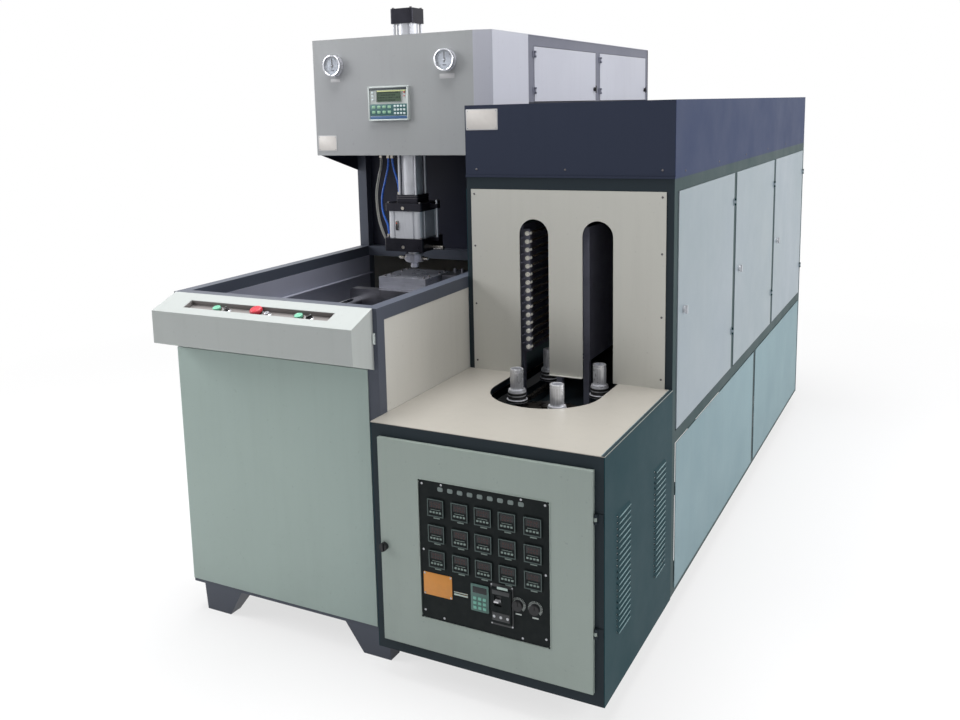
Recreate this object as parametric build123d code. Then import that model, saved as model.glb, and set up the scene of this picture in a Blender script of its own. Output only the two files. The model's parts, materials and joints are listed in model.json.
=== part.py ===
from build123d import *
import os
from math import atan2, cos, degrees, pi, radians, sin, sqrt, tan

os.makedirs("parts", exist_ok=True)

# Two steel cabinets stand side by side: the blowing unit on the left and the preform heater on the right.
# X runs along the operator's side, Y towards the rear, Z up from the floor.

# driving sizes of the blowing unit
blow_w = 785.0
base_len = 2778.0
base_h = 1115.0
base_clear = 97.0
head_bottom = 1514.0
head_h = 444.0
head_setback = 840.0
column_setback = 1123.0
head_inset = 25.0
gusset_drop = 76.0
corner_x = 62.0
corner_y = 32.0
side_cover_len = 353.0

# driving sizes of the heater
heater_w = 712.0
heater_lead = 56.0
heater_clear = 85.0
cabinet_depth = 649.0
table_h = 792.0
oven_len = 2570.0
oven_wall_h = 1414.0
hood_gap = 40.0
hood_h = 238.0

# stock and running sizes
bar = 40.0
sheet = 2.0
reveal = 2.0
side_proud = 14.0
free_gap = 0.3
shaft_play = 0.05

# console with its button channel
console_overhang = 113.0
console_front_top = 1074.0
console_front_bottom = 968.0
console_back_bottom = 930.0
console_side_inset = 8.0
channel_half = 277.0
channel_w = 44.0
channel_depth = 16.0
button_pitch = 158.0

total_w = blow_w + heater_w + side_proud
total_d = console_overhang - heater_lead + cabinet_depth + oven_len

# the main planes
xa0 = -total_w / 2
xj = xa0 + blow_w
xh1 = xj - head_inset
xb1 = xj + heater_w
xc = xj + heater_w / 2
yc0 = -total_d / 2
ya = yc0 + console_overhang
yb = ya - heater_lead
ys = yb + cabinet_depth
yr = ys + oven_len
yh = ya + head_setback
yc = ya + column_setback
yar = ya + base_len
xn = (xa0 + xh1) / 2
base_floor = base_clear + bar
head_top = head_bottom + head_h
hood_lip_h = oven_wall_h + hood_gap
hood_top = hood_lip_h + hood_h

nodes = {}


def keep(name, *solids):
    nodes[name] = list(solids)


def box(x0, x1, y0, y1, z0, z1):
    return Pos((x0 + x1) / 2, (y0 + y1) / 2, (z0 + z1) / 2) * Box(x1 - x0, y1 - y0, z1 - z0)


def rod_z(x, y, z0, z1, r):
    return Pos(x, y, (z0 + z1) / 2) * Cylinder(r, z1 - z0)


def rod_y(x, z, y0, y1, r):
    return Pos(x, (y0 + y1) / 2, z) * Rot(90, 0, 0) * Cylinder(r, y1 - y0)


def rod_x(y, z, x0, x1, r):
    return Pos((x0 + x1) / 2, y, z) * Rot(0, 90, 0) * Cylinder(r, x1 - x0)


def side_plate(points, x0, x1):
    # a flat plate whose outline is given as (y, z) points
    face = make_face(Polyline(*[(x0, y, z) for y, z in points], close=True))
    return extrude(face, x1 - x0, dir=(1, 0, 0))


def front_plate(points, y0, y1):
    face = make_face(Polyline(*[(x, y0, z) for x, z in points], close=True))
    return extrude(face, y1 - y0, dir=(0, 1, 0))


def level_plate(points, z0, z1):
    face = make_face(Polyline(*[(x, y, z0) for x, y in points], close=True))
    return extrude(face, z1 - z0, dir=(0, 0, 1))


# framework of the blowing unit
def blow_frame():
    x0 = xa0
    x1 = xj
    parts = []
    for x in (x0, x1 - bar):
        for y in (ya, yc, yar - bar):
            parts.append(box(x, x + bar, y, y + bar, base_clear, base_h - bar))
        parts.append(box(x, x + bar, ya, yar, base_h - bar, base_h))
        parts.append(box(x, x + bar, ya + bar, yc, base_clear, base_floor))
        parts.append(box(x, x + bar, yc + bar, yar - bar, base_clear, base_floor))
    for y in (ya, yc, yar - bar):
        parts.append(box(x0 + bar, x1 - bar, y, y + bar, base_h - bar, base_h))
        parts.append(box(x0 + bar, x1 - bar, y, y + bar, base_clear, base_floor))
    # the tower stands on the base rails and carries the overhanging head
    left = xa0 + sheet
    right = xh1 - sheet - bar
    front = yh + sheet
    roof = head_top - sheet
    for x in (left, right):
        for y in (yc, yar - bar - sheet):
            parts.append(box(x, x + bar, y, y + bar, base_h, roof - bar))
        parts.append(box(x, x + bar, front + bar, yar - sheet, roof - bar, roof))
        parts.append(box(x, x + bar, front + bar, yc, head_bottom, head_bottom + bar))
    parts.append(box(left, left + bar, front, front + bar, head_bottom, roof))
    xe = xh1 - corner_x - reveal
    corner = [(xe, front), (xh1 - sheet, front + corner_y + 1.5)]
    corner += [(xh1 - sheet, front + bar), (xe, front + bar)]
    parts.append(level_plate(corner, head_bottom, roof))
    for y in (yc, yar - bar - sheet):
        parts.append(box(left + bar, right, y, y + bar, roof - bar, roof))
    parts.append(box(left + bar, right, yc, yc + bar, head_bottom, head_bottom + bar))
    for z in (head_bottom, roof - bar):
        parts.append(box(left + bar, xe, front, front + bar, z, z + bar))
    # uprights and sill that frame the two service doors
    sill_z = head_door_bottom - reveal
    for y in (door_sill_y, door_y[0] + head_door_w + reveal):
        parts.append(box(right, right + bar, y, y + door_post, sill_z, head_top - sheet - bar))
    parts.append(box(right, right + bar, yc + bar, yar - bar - sheet, sill_z - bar, sill_z))
    # ledgers and cross bearers that carry the clamp well
    for x in (xa0 + bar - ledger, xj - bar):
        parts.append(box(x, x + ledger, ya + bar, yc, well_floor - bar, well_floor))
    for y in (ya + bar, (ya + yc) / 2, yc - bar):
        parts.append(box(xa0 + bar, xj - bar, y, y + bar, well_floor - bar, well_floor))
    return parts


head_door_bottom = hood_top + 10.0
door_post = 59.0
ledger = 22.0
well_floor = 600.0
door_sill_y = yh + side_cover_len
head_door_y = door_sill_y + door_post + reveal
head_door_w = (yar - sheet - bar - head_door_y - door_post - 3 * reveal) / 2
door_y = [head_door_y, head_door_y + head_door_w + door_post + 2 * reveal]

# tapered welded feet under the corners and the middle posts
foot_top = 160.0
foot_base = 100.0
foot_depth = 105.0
foot_sole = 58.0
foot_step = 8.0
foot_inset = 45.0


def blow_foot(x, y, sign):
    # full under the post on its outer side, tapered on the inner side and front to rear
    top = [(x, y), (x + sign * foot_top, y), (x + sign * foot_top, y + foot_depth), (x, y + foot_depth)]
    low = [(x, y + foot_step), (x + sign * foot_base, y + foot_step),
           (x + sign * foot_base, y + foot_sole), (x, y + foot_sole)]
    upper = make_face(Polyline(*[(px, py, base_clear) for px, py in top], close=True))
    lower = make_face(Polyline(*[(px, py, 0) for px, py in low], close=True))
    return loft([lower, upper])


feet = []
for y in (ya, yc, yar - foot_depth):
    feet.append(blow_foot(xa0 + foot_inset, y, 1))
    feet.append(blow_foot(xj, y, -1))
keep("blow_frame", *blow_frame(), *feet)

# fixed skins of the base
skin_gap = 1.0


# the front apron laps the left post and stops short of the right one
apron_t = 3.0
apron_x1 = xj - bar + 2
apron = box(xa0, apron_x1, ya - apron_t, ya, base_clear + 12, console_back_bottom - skin_gap)


def pan_x(x_out, y0, y1, z0, z1, depth, inward):
    # shallow tray whose face looks along X, with folded edges running inward
    xi = x_out + inward * depth
    tray = box(min(x_out, xi), max(x_out, xi), y0, y1, z0, z1)
    xs = x_out + inward * sheet
    hollow = box(min(xs, xi), max(xs, xi), y0 + sheet, y1 - sheet, z0 + sheet, z1 - sheet)
    return tray - hollow


skin_depth = 15.0
g = skin_gap
skins = [apron]
for x_out, inward in ((xj - 1, -1), (xa0 + 1, 1)):
    skins.append(pan_x(x_out, ya + bar + g, yc - g, base_floor, base_h - bar, skin_depth, inward))
    skins.append(pan_x(x_out, yc + bar + g, yar - bar - g, base_floor, base_h - bar, skin_depth, inward))
skins.append(box(xa0 + bar + g, xj - bar - g, yar - sheet, yar, base_floor, base_h - bar))
keep("base_panels", *skins)


# console: one folded housing with a sunk channel for the controls
console_x0 = xa0 + console_side_inset
console_x1 = xh1 + 10.0
console_xm = (console_x0 + console_x1) / 2
tilt_rise = base_h - console_front_top
slope_deg = degrees(atan2(tilt_rise, console_overhang))
profile = [(yc0, console_front_bottom), (yc0, console_front_top), (ya, base_h), (ya, console_back_bottom)]
console = side_plate(profile, console_x0, console_x1)
slope_len = sqrt(console_overhang ** 2 + tilt_rise ** 2)
ny = -tilt_rise / slope_len
nz = console_overhang / slope_len
channel_mid = 0.47


def on_slope(share, height):
    # point above the sloping top, share 0 at the front edge and 1 at the rear edge
    y = yc0 + share * console_overhang + ny * height
    z = console_front_top + share * tilt_rise + nz * height
    return y, z


def tilted(share, height, x):
    y, z = on_slope(share, height)
    return Pos(x, y, z) * Rot(slope_deg, 0, 0)


channel = tilted(channel_mid, 0, console_xm) * Box(2 * channel_half, channel_w, 2 * channel_depth)
rise = tilt_rise / console_overhang
fall = (console_front_bottom - console_back_bottom) / console_overhang
inside = [(yc0 + sheet, console_front_bottom + sheet - fall * sheet),
          (yc0 + sheet, console_front_top - sheet),
          (ya + 1, base_h - sheet), (ya + 1, console_back_bottom + sheet)]
hollow = side_plate(inside, console_x0 + sheet, console_x1 - sheet)
around_channel = Box(2 * channel_half + 4, channel_w + 4, 2 * channel_depth + 4)
hollow -= tilted(channel_mid, 0, console_xm) * around_channel
console = console - channel - hollow
keep("console", console)

# controls on the floor of the channel: two start buttons and a stop mushroom
button_r = 14.0
button_travel = 3.0
collar_h = 4.0
stem_r = 9.0


def ring(r_out, r_in, h):
    return Pos(0, 0, h / 2) * (Cylinder(r_out, h) - Cylinder(r_in, h))


def disc(r, z0, z1):
    return Pos(0, 0, (z0 + z1) / 2) * Cylinder(r, z1 - z0)


def on_channel(x):
    return tilted(channel_mid, -channel_depth, x)


start_x = [console_xm - button_pitch, console_xm + button_pitch]
collars = [on_channel(x) * ring(button_r + 2, stem_r + free_gap, collar_h) for x in start_x]
collars.append(on_channel(console_xm) * ring(button_r + 2, stem_r + free_gap, collar_h))
keep("button_collars", *collars)
lift = collar_h + button_travel + free_gap
for name, x in zip(("left", "right"), start_x):
    cap = disc(stem_r, free_gap + button_travel, lift) + disc(button_r - 1, lift, lift + 5)
    keep("start_button_" + name, on_channel(x) * cap)
mushroom = disc(stem_r, free_gap + button_travel, lift + 5)
mushroom += Pos(0, 0, lift + 5) * (Cylinder(20, 10, align=(Align.CENTER, Align.CENTER, Align.MIN)))
mushroom = fillet(mushroom.edges().filter_by(GeomType.CIRCLE).sort_by(Axis.Z)[-1], 6)
keep("stop_button", on_channel(console_xm) * mushroom)

# well of the clamp: sheet trough, side ledges and the cover strip behind the console
ledge_z = 1000.0
ledge_w = 18.0
wx0 = xa0 + bar
wx1 = xj - bar
wy0 = ya + bar
strip_depth = 88.0
trough = box(wx0, wx1, wy0, yc, well_floor, base_h - bar)
trough -= box(wx0 + sheet, wx1 - sheet, wy0 + sheet, yc, well_floor + sheet, base_h - bar)
for x in (wx0 + sheet, wx1 - sheet - ledge_w):
    trough += box(x, x + ledge_w, wy0 + sheet, yc, ledge_z, ledge_z + 3)
keep("clamp_well", trough, box(wx0, wx1, wy0, wy0 + strip_depth, base_h - bar, base_h - bar + 3))

# head covers: folded front with a chamfered corner, top sheet, left sheet with the sloping chin


def fold(points, t):
    # closed outline of a sheet of thickness t whose outer face follows the points
    inner = []
    last = len(points) - 1
    for i, (px, py) in enumerate(points):
        normals = []
        for a, b in ((i - 1, i), (i, i + 1)):
            if a < 0 or b > last:
                continue
            dx = points[b][0] - points[a][0]
            dy = points[b][1] - points[a][1]
            size = sqrt(dx * dx + dy * dy)
            normals.append((-dy / size, dx / size))
        mx = sum(n[0] for n in normals) / len(normals)
        my = sum(n[1] for n in normals) / len(normals)
        square = mx * mx + my * my
        inner.append((px + t * mx / square, py + t * my / square))
    return points + inner[::-1]


return_flange = 20.0
front_path = [(xa0, yh + return_flange), (xa0, yh), (xh1 - corner_x, yh),
              (xh1, yh + corner_y), (xh1, yh + side_cover_len)]
front_cover = level_plate(fold(front_path, sheet), head_bottom, head_top - sheet)
stretch_hole = 52.0
yn = yh + 88.0
top_plan = [(xa0, yh), (xh1 - corner_x, yh), (xh1, yh + corner_y), (xh1, yar), (xa0, yar)]
head_lid = level_plate(top_plan, head_top - sheet, head_top)
lid_hole = box(xn - stretch_hole, xn + stretch_hole, yn - stretch_hole, yn + stretch_hole, -9, 9)
head_lid -= Pos(0, 0, head_top) * lid_hole
keep("head_cover", front_cover, head_lid)
left_plan = [(yh + return_flange, head_bottom), (yc, head_bottom - gusset_drop), (yc, base_h),
             (yar - sheet, base_h), (yar - sheet, head_top - sheet), (yh + return_flange, head_top - sheet)]
tower_skins = [side_plate(left_plan, xa0, xa0 + sheet)]
sill_z = head_door_bottom - reveal
right_plan = [(yh + corner_y, head_bottom), (yc, head_bottom - gusset_drop), (yc, base_h),
              (yar - sheet, base_h), (yar - sheet, sill_z), (door_sill_y, sill_z), (door_sill_y, head_bottom)]
tower_skins.append(side_plate(right_plan, xh1 - sheet, xh1))
tower_skins.append(box(xa0, xh1, yar - sheet, yar, base_h, head_top - sheet))
front_skin = box(xa0 + sheet + bar, xh1 - sheet - bar, yc + bar - sheet, yc + bar, base_h, head_bottom)
tower_skins.append(front_skin)

# two service doors on the head, hinged at their front edges, each with a latch
door_top = head_top - sheet - bar - reveal
pin_r = 4.0
knuckle_len = 26.0
door_out = xh1 - 0.5


def side_hinge(x_face, x_post, y_edge, z, toward):
    # lift-off hinge on a face that looks along X: the door's half and the post's half on one pin line
    x_pin = x_face + pin_r + free_gap
    y_pin = y_edge + toward * 2
    half = knuckle_len / 2
    mid = 5.0
    y_far = y_edge + toward * 20
    y_near = y_edge + toward * 8
    door_half = rod_z(x_pin, y_pin, z - mid, z + mid, pin_r)
    door_half += box(x_face, x_face + 2, min(y_edge, y_far), max(y_edge, y_far), z - mid, z + mid)
    door_half += box(x_face, x_face + 2, min(y_near, y_far), max(y_near, y_far), z - half, z + half)
    y_out = y_edge - toward * 16
    y_in = y_edge - toward * 0.6
    post_half = box(x_post, x_face + 0.8, min(y_out, y_in), max(y_out, y_in), z - half, z + half)
    for z0, z1 in ((z - half, z - mid - free_gap), (z + mid + free_gap, z + half)):
        post_half += rod_z(x_pin, y_pin, z0, z1, pin_r)
        y_web = y_edge - toward * 4
        post_half += box(x_post, x_pin, min(y_web, y_in), max(y_web, y_in), z0, z1)
    return door_half, post_half


head_hinges = []
for i, name in enumerate(("front", "rear")):
    y0 = door_y[i]
    door = pan_x(door_out, y0, y0 + head_door_w, head_door_bottom, door_top, skin_depth, -1)
    for z in (head_door_bottom + 42, door_top - 30):
        door_half, post_half = side_hinge(door_out, xh1 - sheet, y0, z, 1)
        door += door_half
        head_hinges.append(post_half)
    keep("head_door_" + name, door)
    boss = rod_x(y0 + head_door_w - 20, head_door_bottom + 50, door_out + free_gap, door_out + 8, 9)
    boss += box(door_out + 8, door_out + 12, y0 + head_door_w - 23, y0 + head_door_w - 17,
                head_door_bottom + 34, head_door_bottom + 66)
    keep("head_latch_" + name, boss)

nodes["blow_frame"] += head_hinges

# pressure gauges and the operator panel on the head front
gauge_r = 39.0
gauge_z = head_bottom + 344.0
gauge_x = [xn - 279.0, xn + 211.0]
gauge_proud = 24.0
cases = []
for x in gauge_x:
    case = rod_y(x, gauge_z, yh - gauge_proud, yh, gauge_r)
    case -= rod_y(x, gauge_z, yh - gauge_proud, yh - gauge_proud + 9, gauge_r - 4)
    case += rod_y(x, gauge_z, yh - gauge_proud + 5, yh - gauge_proud + 9, 1.5)
    cases.append(case)
keep("gauge_cases", *cases)
for name, x in zip(("left", "right"), gauge_x):
    y = yh - gauge_proud + 6
    needle = rod_y(x, gauge_z, y - 2, y, 5)
    needle += box(x - 1.2, x + 1.2, y - 2, y, gauge_z - 10, gauge_z + gauge_r - 12)
    needle -= rod_y(x, gauge_z, y - 3, y + 1, 1.5 + shaft_play)
    keep("gauge_needle_" + name, needle)
panel_w = 176.0
panel_h = 128.0
panel_xm = xn - 37.0
panel_z0 = head_bottom + 131.0
panel_proud = 9.0
hmi = box(panel_xm - panel_w / 2, panel_xm + panel_w / 2, yh - panel_proud, yh, panel_z0, panel_z0 + panel_h)
hmi = fillet(hmi.edges().filter_by(Axis.Y), 5)
hmi_face = yh - panel_proud
hmi -= box(panel_xm - 50, panel_xm + 57, hmi_face, hmi_face + 2.5, panel_z0 + 70, panel_z0 + 113)
for row in range(2):
    for column in range(4):
        kx = panel_xm - 70 + column * 21
        kz = panel_z0 + 22 + row * 21
        hmi += box(kx, kx + 16, yh - panel_proud - 2, yh - panel_proud, kz, kz + 14)
for row in range(2):
    for column in range(3):
        kx = panel_xm + 18 + column * 19
        kz = panel_z0 + 22 + row * 21
        hmi += box(kx, kx + 14, yh - panel_proud - 2, yh - panel_proud, kz, kz + 14)
keep("operator_panel", hmi)

# stretch cylinder over the sealing cylinder, hung from the floor plate of the head
mould_top = 1045.0
seal_z = [1145.0, 1195.0, 1300.0, 1330.0]
seal_w = 145.0
cap_w = 160.0
foot_w = 170.0
stretch_r = 40.0
stretch_bore = 37.0
stretch_cap_w = 95.0
stretch_cap_h = 30.0
stretch_head_h = 55.0
stretch_top = head_top + 100.0
tie_r = 5.0
tie_offset = 36.0
rod_r = 6.0
tube_z0 = seal_z[3] + stretch_cap_h
tube_z1 = stretch_top - stretch_head_h
plate_t = 6.0
hose_r = 4.0
hose_grey_r = 5.0

plate_y0 = yh + sheet + bar
floor_plate = box(xa0 + sheet + bar, xh1 - sheet - bar, plate_y0, yc, head_bottom, head_bottom + plate_t)
floor_plate -= rod_z(xn, yn, head_bottom - 1, head_bottom + plate_t + 1, stretch_r)
ties = []
for sx in (-1, 1):
    for sy in (-1, 1):
        x = xn + sx * tie_offset
        y = yn + sy * tie_offset
        floor_plate -= rod_z(x, y, head_bottom - 1, head_bottom + plate_t + 1, tie_r)
        ties.append(rod_z(x, y, tube_z0, tube_z1, tie_r))
keep("tower_panels", *tower_skins, floor_plate)
tube = rod_z(xn, yn, tube_z0, tube_z1, stretch_r) - rod_z(xn, yn, tube_z0, tube_z1, stretch_bore)


def square_cap(w, z0, z1, r):
    cap = box(xn - w / 2, xn + w / 2, yn - w / 2, yn + w / 2, z0, z1)
    return fillet(cap.edges().filter_by(Axis.Z), r)


low_cap = square_cap(stretch_cap_w, seal_z[3], tube_z0, 8)
low_cap -= rod_z(xn, yn, seal_z[3] - 1, tube_z0 + 1, rod_r + shaft_play)
high_cap = square_cap(stretch_cap_w, tube_z1, stretch_top, 8)
stretch_rest = 75.0
piston_z = tube_z1 - stretch_rest
nozzle_tip = mould_top + 25.0
stretch_rod = rod_z(xn, yn, nozzle_tip + 8, piston_z, rod_r)
stretch_rod = fillet(stretch_rod.edges().filter_by(GeomType.CIRCLE).sort_by(Axis.Z)[0], 5)
stretch_rod += rod_z(xn, yn, piston_z, piston_z + 30, stretch_bore - shaft_play)
keep("stretch_rod", stretch_rod)

seal_bore = 62.5
ram_r = 25.0
body = square_cap(seal_w, seal_z[1], seal_z[2], 16)
for sx in (-1, 1):
    for sy in (-1, 1):
        body -= rod_z(xn + sx * seal_w / 2, yn + sy * (seal_w / 2 - 30), seal_z[1] - 1, seal_z[2] + 1, 4)
        body -= rod_z(xn + sx * (seal_w / 2 - 30), yn + sy * seal_w / 2, seal_z[1] - 1, seal_z[2] + 1, 4)
body -= rod_z(xn, yn, seal_z[1], seal_z[2], seal_bore)
upper = square_cap(cap_w, seal_z[2], seal_z[3], 10) - rod_z(xn, yn, seal_z[2], seal_z[3], rod_r + shaft_play)
ear_x = xn + 104.0
ear = box(xn + cap_w / 2, ear_x + 8, yn - 9, yn + 9, seal_z[2] + 8, seal_z[3] - 6)
upper += ear - rod_z(ear_x, yn, seal_z[2], seal_z[3], hose_r)
lower = square_cap(foot_w, seal_z[0], seal_z[1], 10)
lower -= rod_z(xn, yn, seal_z[0], seal_z[1], ram_r + shaft_play)
shelf = box(xn + foot_w / 2, ear_x + 10, yn - 9, yn + 9, seal_z[1] - 14, seal_z[1])
lower += shelf
keep("cylinder_caps", low_cap, high_cap, upper, lower)
keep("cylinder_tubes", tube, body, *ties, rod_z(ear_x, yn, seal_z[1], seal_z[3] + 8, hose_r))
ram_gap = 15.0
nozzle = rod_z(xn, yn, seal_z[2] - 45, seal_z[2] - 15, seal_bore - shaft_play)
nozzle += rod_z(xn, yn, seal_z[0] - ram_gap, seal_z[2] - 45, ram_r)
flange = rod_z(xn, yn, nozzle_tip + 25, seal_z[0] - ram_gap, 37)
flange = chamfer(flange.edges().filter_by(GeomType.CIRCLE), 3)
nozzle += flange
nose = rod_z(xn, yn, nozzle_tip, nozzle_tip + 25, 16)
nose = chamfer(nose.edges().filter_by(GeomType.CIRCLE).sort_by(Axis.Z)[0], 3)
nozzle += nose
nozzle -= rod_z(xn, yn, nozzle_tip - 1, seal_z[2], rod_r + 0.5)
keep("blow_nozzle", nozzle)


# air hoses between the head floor and the cylinders
def hose(points, r):
    radii = []
    for before, here, after in zip(points, points[1:], points[2:]):
        a = Vector(*here) - Vector(*before)
        b = Vector(*after) - Vector(*here)
        turn = a.get_angle(b)
        radii.append(0.45 * min(a.length, b.length) / tan(radians(turn / 2)))
    print("hose radii", [round(value) for value in radii])
    path = FilletPolyline(*points, radius=radii)
    return sweep(Plane(path @ 0, z_dir=path % 0) * Circle(r), path)


hose_top = head_bottom - 16.0
cap_port_x = xn - stretch_cap_w / 2 - 14
cap_port_z = seal_z[3] + 15
foot_port_x = xn - foot_w / 2
blue_port_z = seal_z[1] - 14
grey_port_z = seal_z[0] + 14
blue_y = yn - 22
grey_y = yn + 30
blue_end = cap_port_z + 22
blue_a = [(xn - 90, yn + 4, hose_top), (xn - 90, yn + 4, hose_top - 28),
          (cap_port_x, yn, blue_end + 28), (cap_port_x, yn, blue_end)]
long_end = blue_port_z + 22
long_x = foot_port_x - 16
drop = hose_top - long_end
blue_b = [(xn - 112, yn + 10, hose_top), (xn - 112, yn + 10, hose_top - 28),
          (xn - 124, yn + 4, hose_top - 0.28 * drop), (xn - 139, yn - 5, hose_top - 0.5 * drop),
          (xn - 133, yn - 14, hose_top - 0.72 * drop),
          (long_x, blue_y, long_end + 32), (long_x, blue_y, long_end)]
grey_end = grey_port_z - 1
grey_x = foot_port_x - 14
drop = hose_top - grey_end
grey = [(xn - 166, yn + 44, hose_top), (xn - 166, yn + 44, hose_top - 28),
        (xn - 180, yn + 41, hose_top - 0.23 * drop), (xn - 191, yn + 37, hose_top - 0.42 * drop),
        (xn - 186, yn + 34, hose_top - 0.61 * drop), (xn - 176, yn + 31, hose_top - 0.76 * drop),
        (grey_x - 64, grey_y, grey_end + 47), (grey_x - 49, grey_y, grey_end + 14),
        (grey_x - 27, grey_y, grey_end), (grey_x, grey_y, grey_end)]
keep("blue_hose_short", hose(blue_a, hose_r))
keep("blue_hose_long", hose(blue_b, hose_r))
keep("grey_hose", hose(grey, hose_grey_r))
fittings = []
for x, y in ((blue_a[0][0], blue_a[0][1]), (blue_b[0][0], blue_b[0][1]), (grey[0][0], grey[0][1])):
    fittings.append(rod_z(x, y, hose_top, head_bottom, 8))
elbow = rod_z(cap_port_x, yn, cap_port_z - 6, cap_port_z + 22, 6.5)
elbow += rod_x(yn, cap_port_z, cap_port_x, xn - stretch_cap_w / 2, 6)
fittings.append(elbow)
elbow = rod_z(foot_port_x - 16, blue_y, blue_port_z - 6, blue_port_z + 22, 6.5)
elbow += rod_x(blue_y, blue_port_z, foot_port_x - 16, foot_port_x, 6)
fittings.append(elbow)
fittings.append(rod_x(grey_y, grey_port_z - 1, foot_port_x - 14, foot_port_x, 8))
fittings.append(rod_x(yn, seal_z[0] + 10, xn + foot_w / 2, xn + foot_w / 2 + 45, 9))
keep("air_fittings", *fittings)

# clamp: two halves of the mould between a fixed and a sliding platen on four tie bars
platen_half = 215.0
platen_t = 40.0
platen_z = [620.0, 1000.0]
mould_half_w = 104.0
mould_t = 105.0
mould_z0 = 700.0
tie_bar_r = 20.0
tie_bar_x = 180.0
tie_bar_z = [660.0, 950.0]
end_plate_back = 640.0
clamp_r = 100.0
clamp_bore = 80.0
clamp_len = 230.0
clamp_cap_t = 20.0
ram_mid_z = 805.0
clamp_rod_r = 25.0

fixed_y = yn + mould_t
moving_y = yn - mould_t - platen_t
end_y = yn - end_plate_back


def platen(y0, hole_r):
    plate = box(xn - platen_half, xn + platen_half, y0, y0 + platen_t, platen_z[0], platen_z[1])
    plate = fillet(plate.edges().filter_by(Axis.Y), 12)
    for sx in (-1, 1):
        for z in tie_bar_z:
            plate -= rod_y(xn + sx * tie_bar_x, z, y0 - 1, y0 + platen_t + 1, hole_r)
    return plate


fixed = platen(fixed_y, tie_bar_r)
moving = platen(moving_y, tie_bar_r + shaft_play)
foot_cut = box(xn - platen_half - 1, xn + platen_half + 1, -1, platen_t + 1, -1, free_gap)
moving -= Pos(0, moving_y, platen_z[0]) * foot_cut
end_plate = platen(end_y, tie_bar_r)
end_plate -= rod_y(xn, ram_mid_z, end_y - 1, end_y + platen_t + 1, clamp_rod_r + shaft_play)
bars = []
nuts = []
nut_t = 22.0
for sx in (-1, 1):
    for z in tie_bar_z:
        x = xn + sx * tie_bar_x
        bars.append(rod_y(x, z, end_y - nut_t, fixed_y + platen_t + nut_t, tie_bar_r))
        for y in (end_y - nut_t, fixed_y + platen_t):
            hexagon = extrude(RegularPolygon(32, 6), nut_t / 2, both=True)
            nut = Pos(x, y + nut_t / 2, z) * Rot(90, 0, 0) * hexagon
            nuts.append(nut - rod_y(x, z, y - 1, y + nut_t + 1, tie_bar_r))
keep("tie_bars", *bars, *nuts)
cyl_y0 = end_y - clamp_len
clamp = rod_y(xn, ram_mid_z, cyl_y0 + clamp_cap_t, end_y, clamp_r)
clamp -= rod_y(xn, ram_mid_z, cyl_y0 + clamp_cap_t, end_y - clamp_cap_t, clamp_bore)
clamp -= rod_y(xn, ram_mid_z, end_y - clamp_cap_t - 1, end_y + 1, clamp_rod_r + shaft_play)
clamp_end = box(-clamp_r, clamp_r, 0, clamp_cap_t, -clamp_r, clamp_r)
clamp += Pos(xn, cyl_y0, ram_mid_z) * clamp_end
keep("clamp_cylinder", clamp)
clamp_rod = rod_y(xn, ram_mid_z, end_y - clamp_cap_t - 10, moving_y, clamp_rod_r)
piston_y = end_y - clamp_cap_t - 40
clamp_rod += rod_y(xn, ram_mid_z, piston_y, piston_y + 30, clamp_bore - shaft_play)
keep("moving_platen", moving, clamp_rod)
bed = []
for sx in (-1, 1):
    x = xn + sx * 130
    bed.append(box(x - 25, x + 25, end_y, yc, well_floor + sheet, platen_z[0]))

bottle_r = 45.0
neck_r = 12.5
bottle_z = [745.0, 950.0, 1008.0]
cavity = Cylinder(bottle_r, bottle_z[1] - bottle_z[0])
heel = cavity.edges().filter_by(GeomType.CIRCLE).sort_by(Axis.Z)[0]
cavity = Pos(xn, yn, (bottle_z[0] + bottle_z[1]) / 2) * fillet(heel, 12)
shoulder = Cone(bottle_r, neck_r, bottle_z[2] - bottle_z[1])
cavity += Pos(xn, yn, (bottle_z[1] + bottle_z[2]) / 2) * shoulder
cavity += rod_z(xn, yn, bottle_z[2] - 1, mould_top + 1, neck_r)
part_gap = 0.15
for name, sign in (("rear", 1), ("front", -1)):
    near = yn + sign * part_gap
    far = yn + sign * mould_t
    half = box(xn - mould_half_w, xn + mould_half_w, min(near, far), max(near, far), mould_z0, mould_top)
    keep("mould_half_" + name, half - cavity)
manifold_x = [xn + mould_half_w + 9, xn + 245]
manifold = box(manifold_x[0], manifold_x[1], fixed_y - 95, fixed_y + platen_t, platen_z[1], mould_top)
for i in range(4):
    x = manifold_x[0] + 20 + i * 32
    manifold += rod_z(x, fixed_y - 20, mould_top, mould_top + 16, 6)
keep("clamp_plates", fixed, end_plate, manifold, *bed)

# framework of the heater: control cabinet in front, oven tunnel behind
door_bays = 3
bay_gap = 45.0
bay_lead = 48.0
bay_tail = 26.0
mid_rail_h = 605.0
mid_rail_top = 649.0
lower_rail_top = 102.0
bay_w = (oven_len - bay_lead - bay_tail - (door_bays - 1) * bay_gap) / door_bays
bay_y = [ys + bay_lead + i * (bay_w + bay_gap) for i in range(door_bays)]
xi0 = xj + sheet
xi1 = xb1 - sheet
yfr = yr - sheet
tail_post = bay_tail - sheet - reveal
post_y = [ys, bay_y[1] - bay_gap / 2 - bar / 2, bay_y[2] - bay_gap / 2 - bar / 2, yfr - tail_post]
post_w = [bar, bar, bar, tail_post]
deck_z = 685.0
deck_t = 6.0
bearer_x = 140.0
deck_front = 330.0


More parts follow.
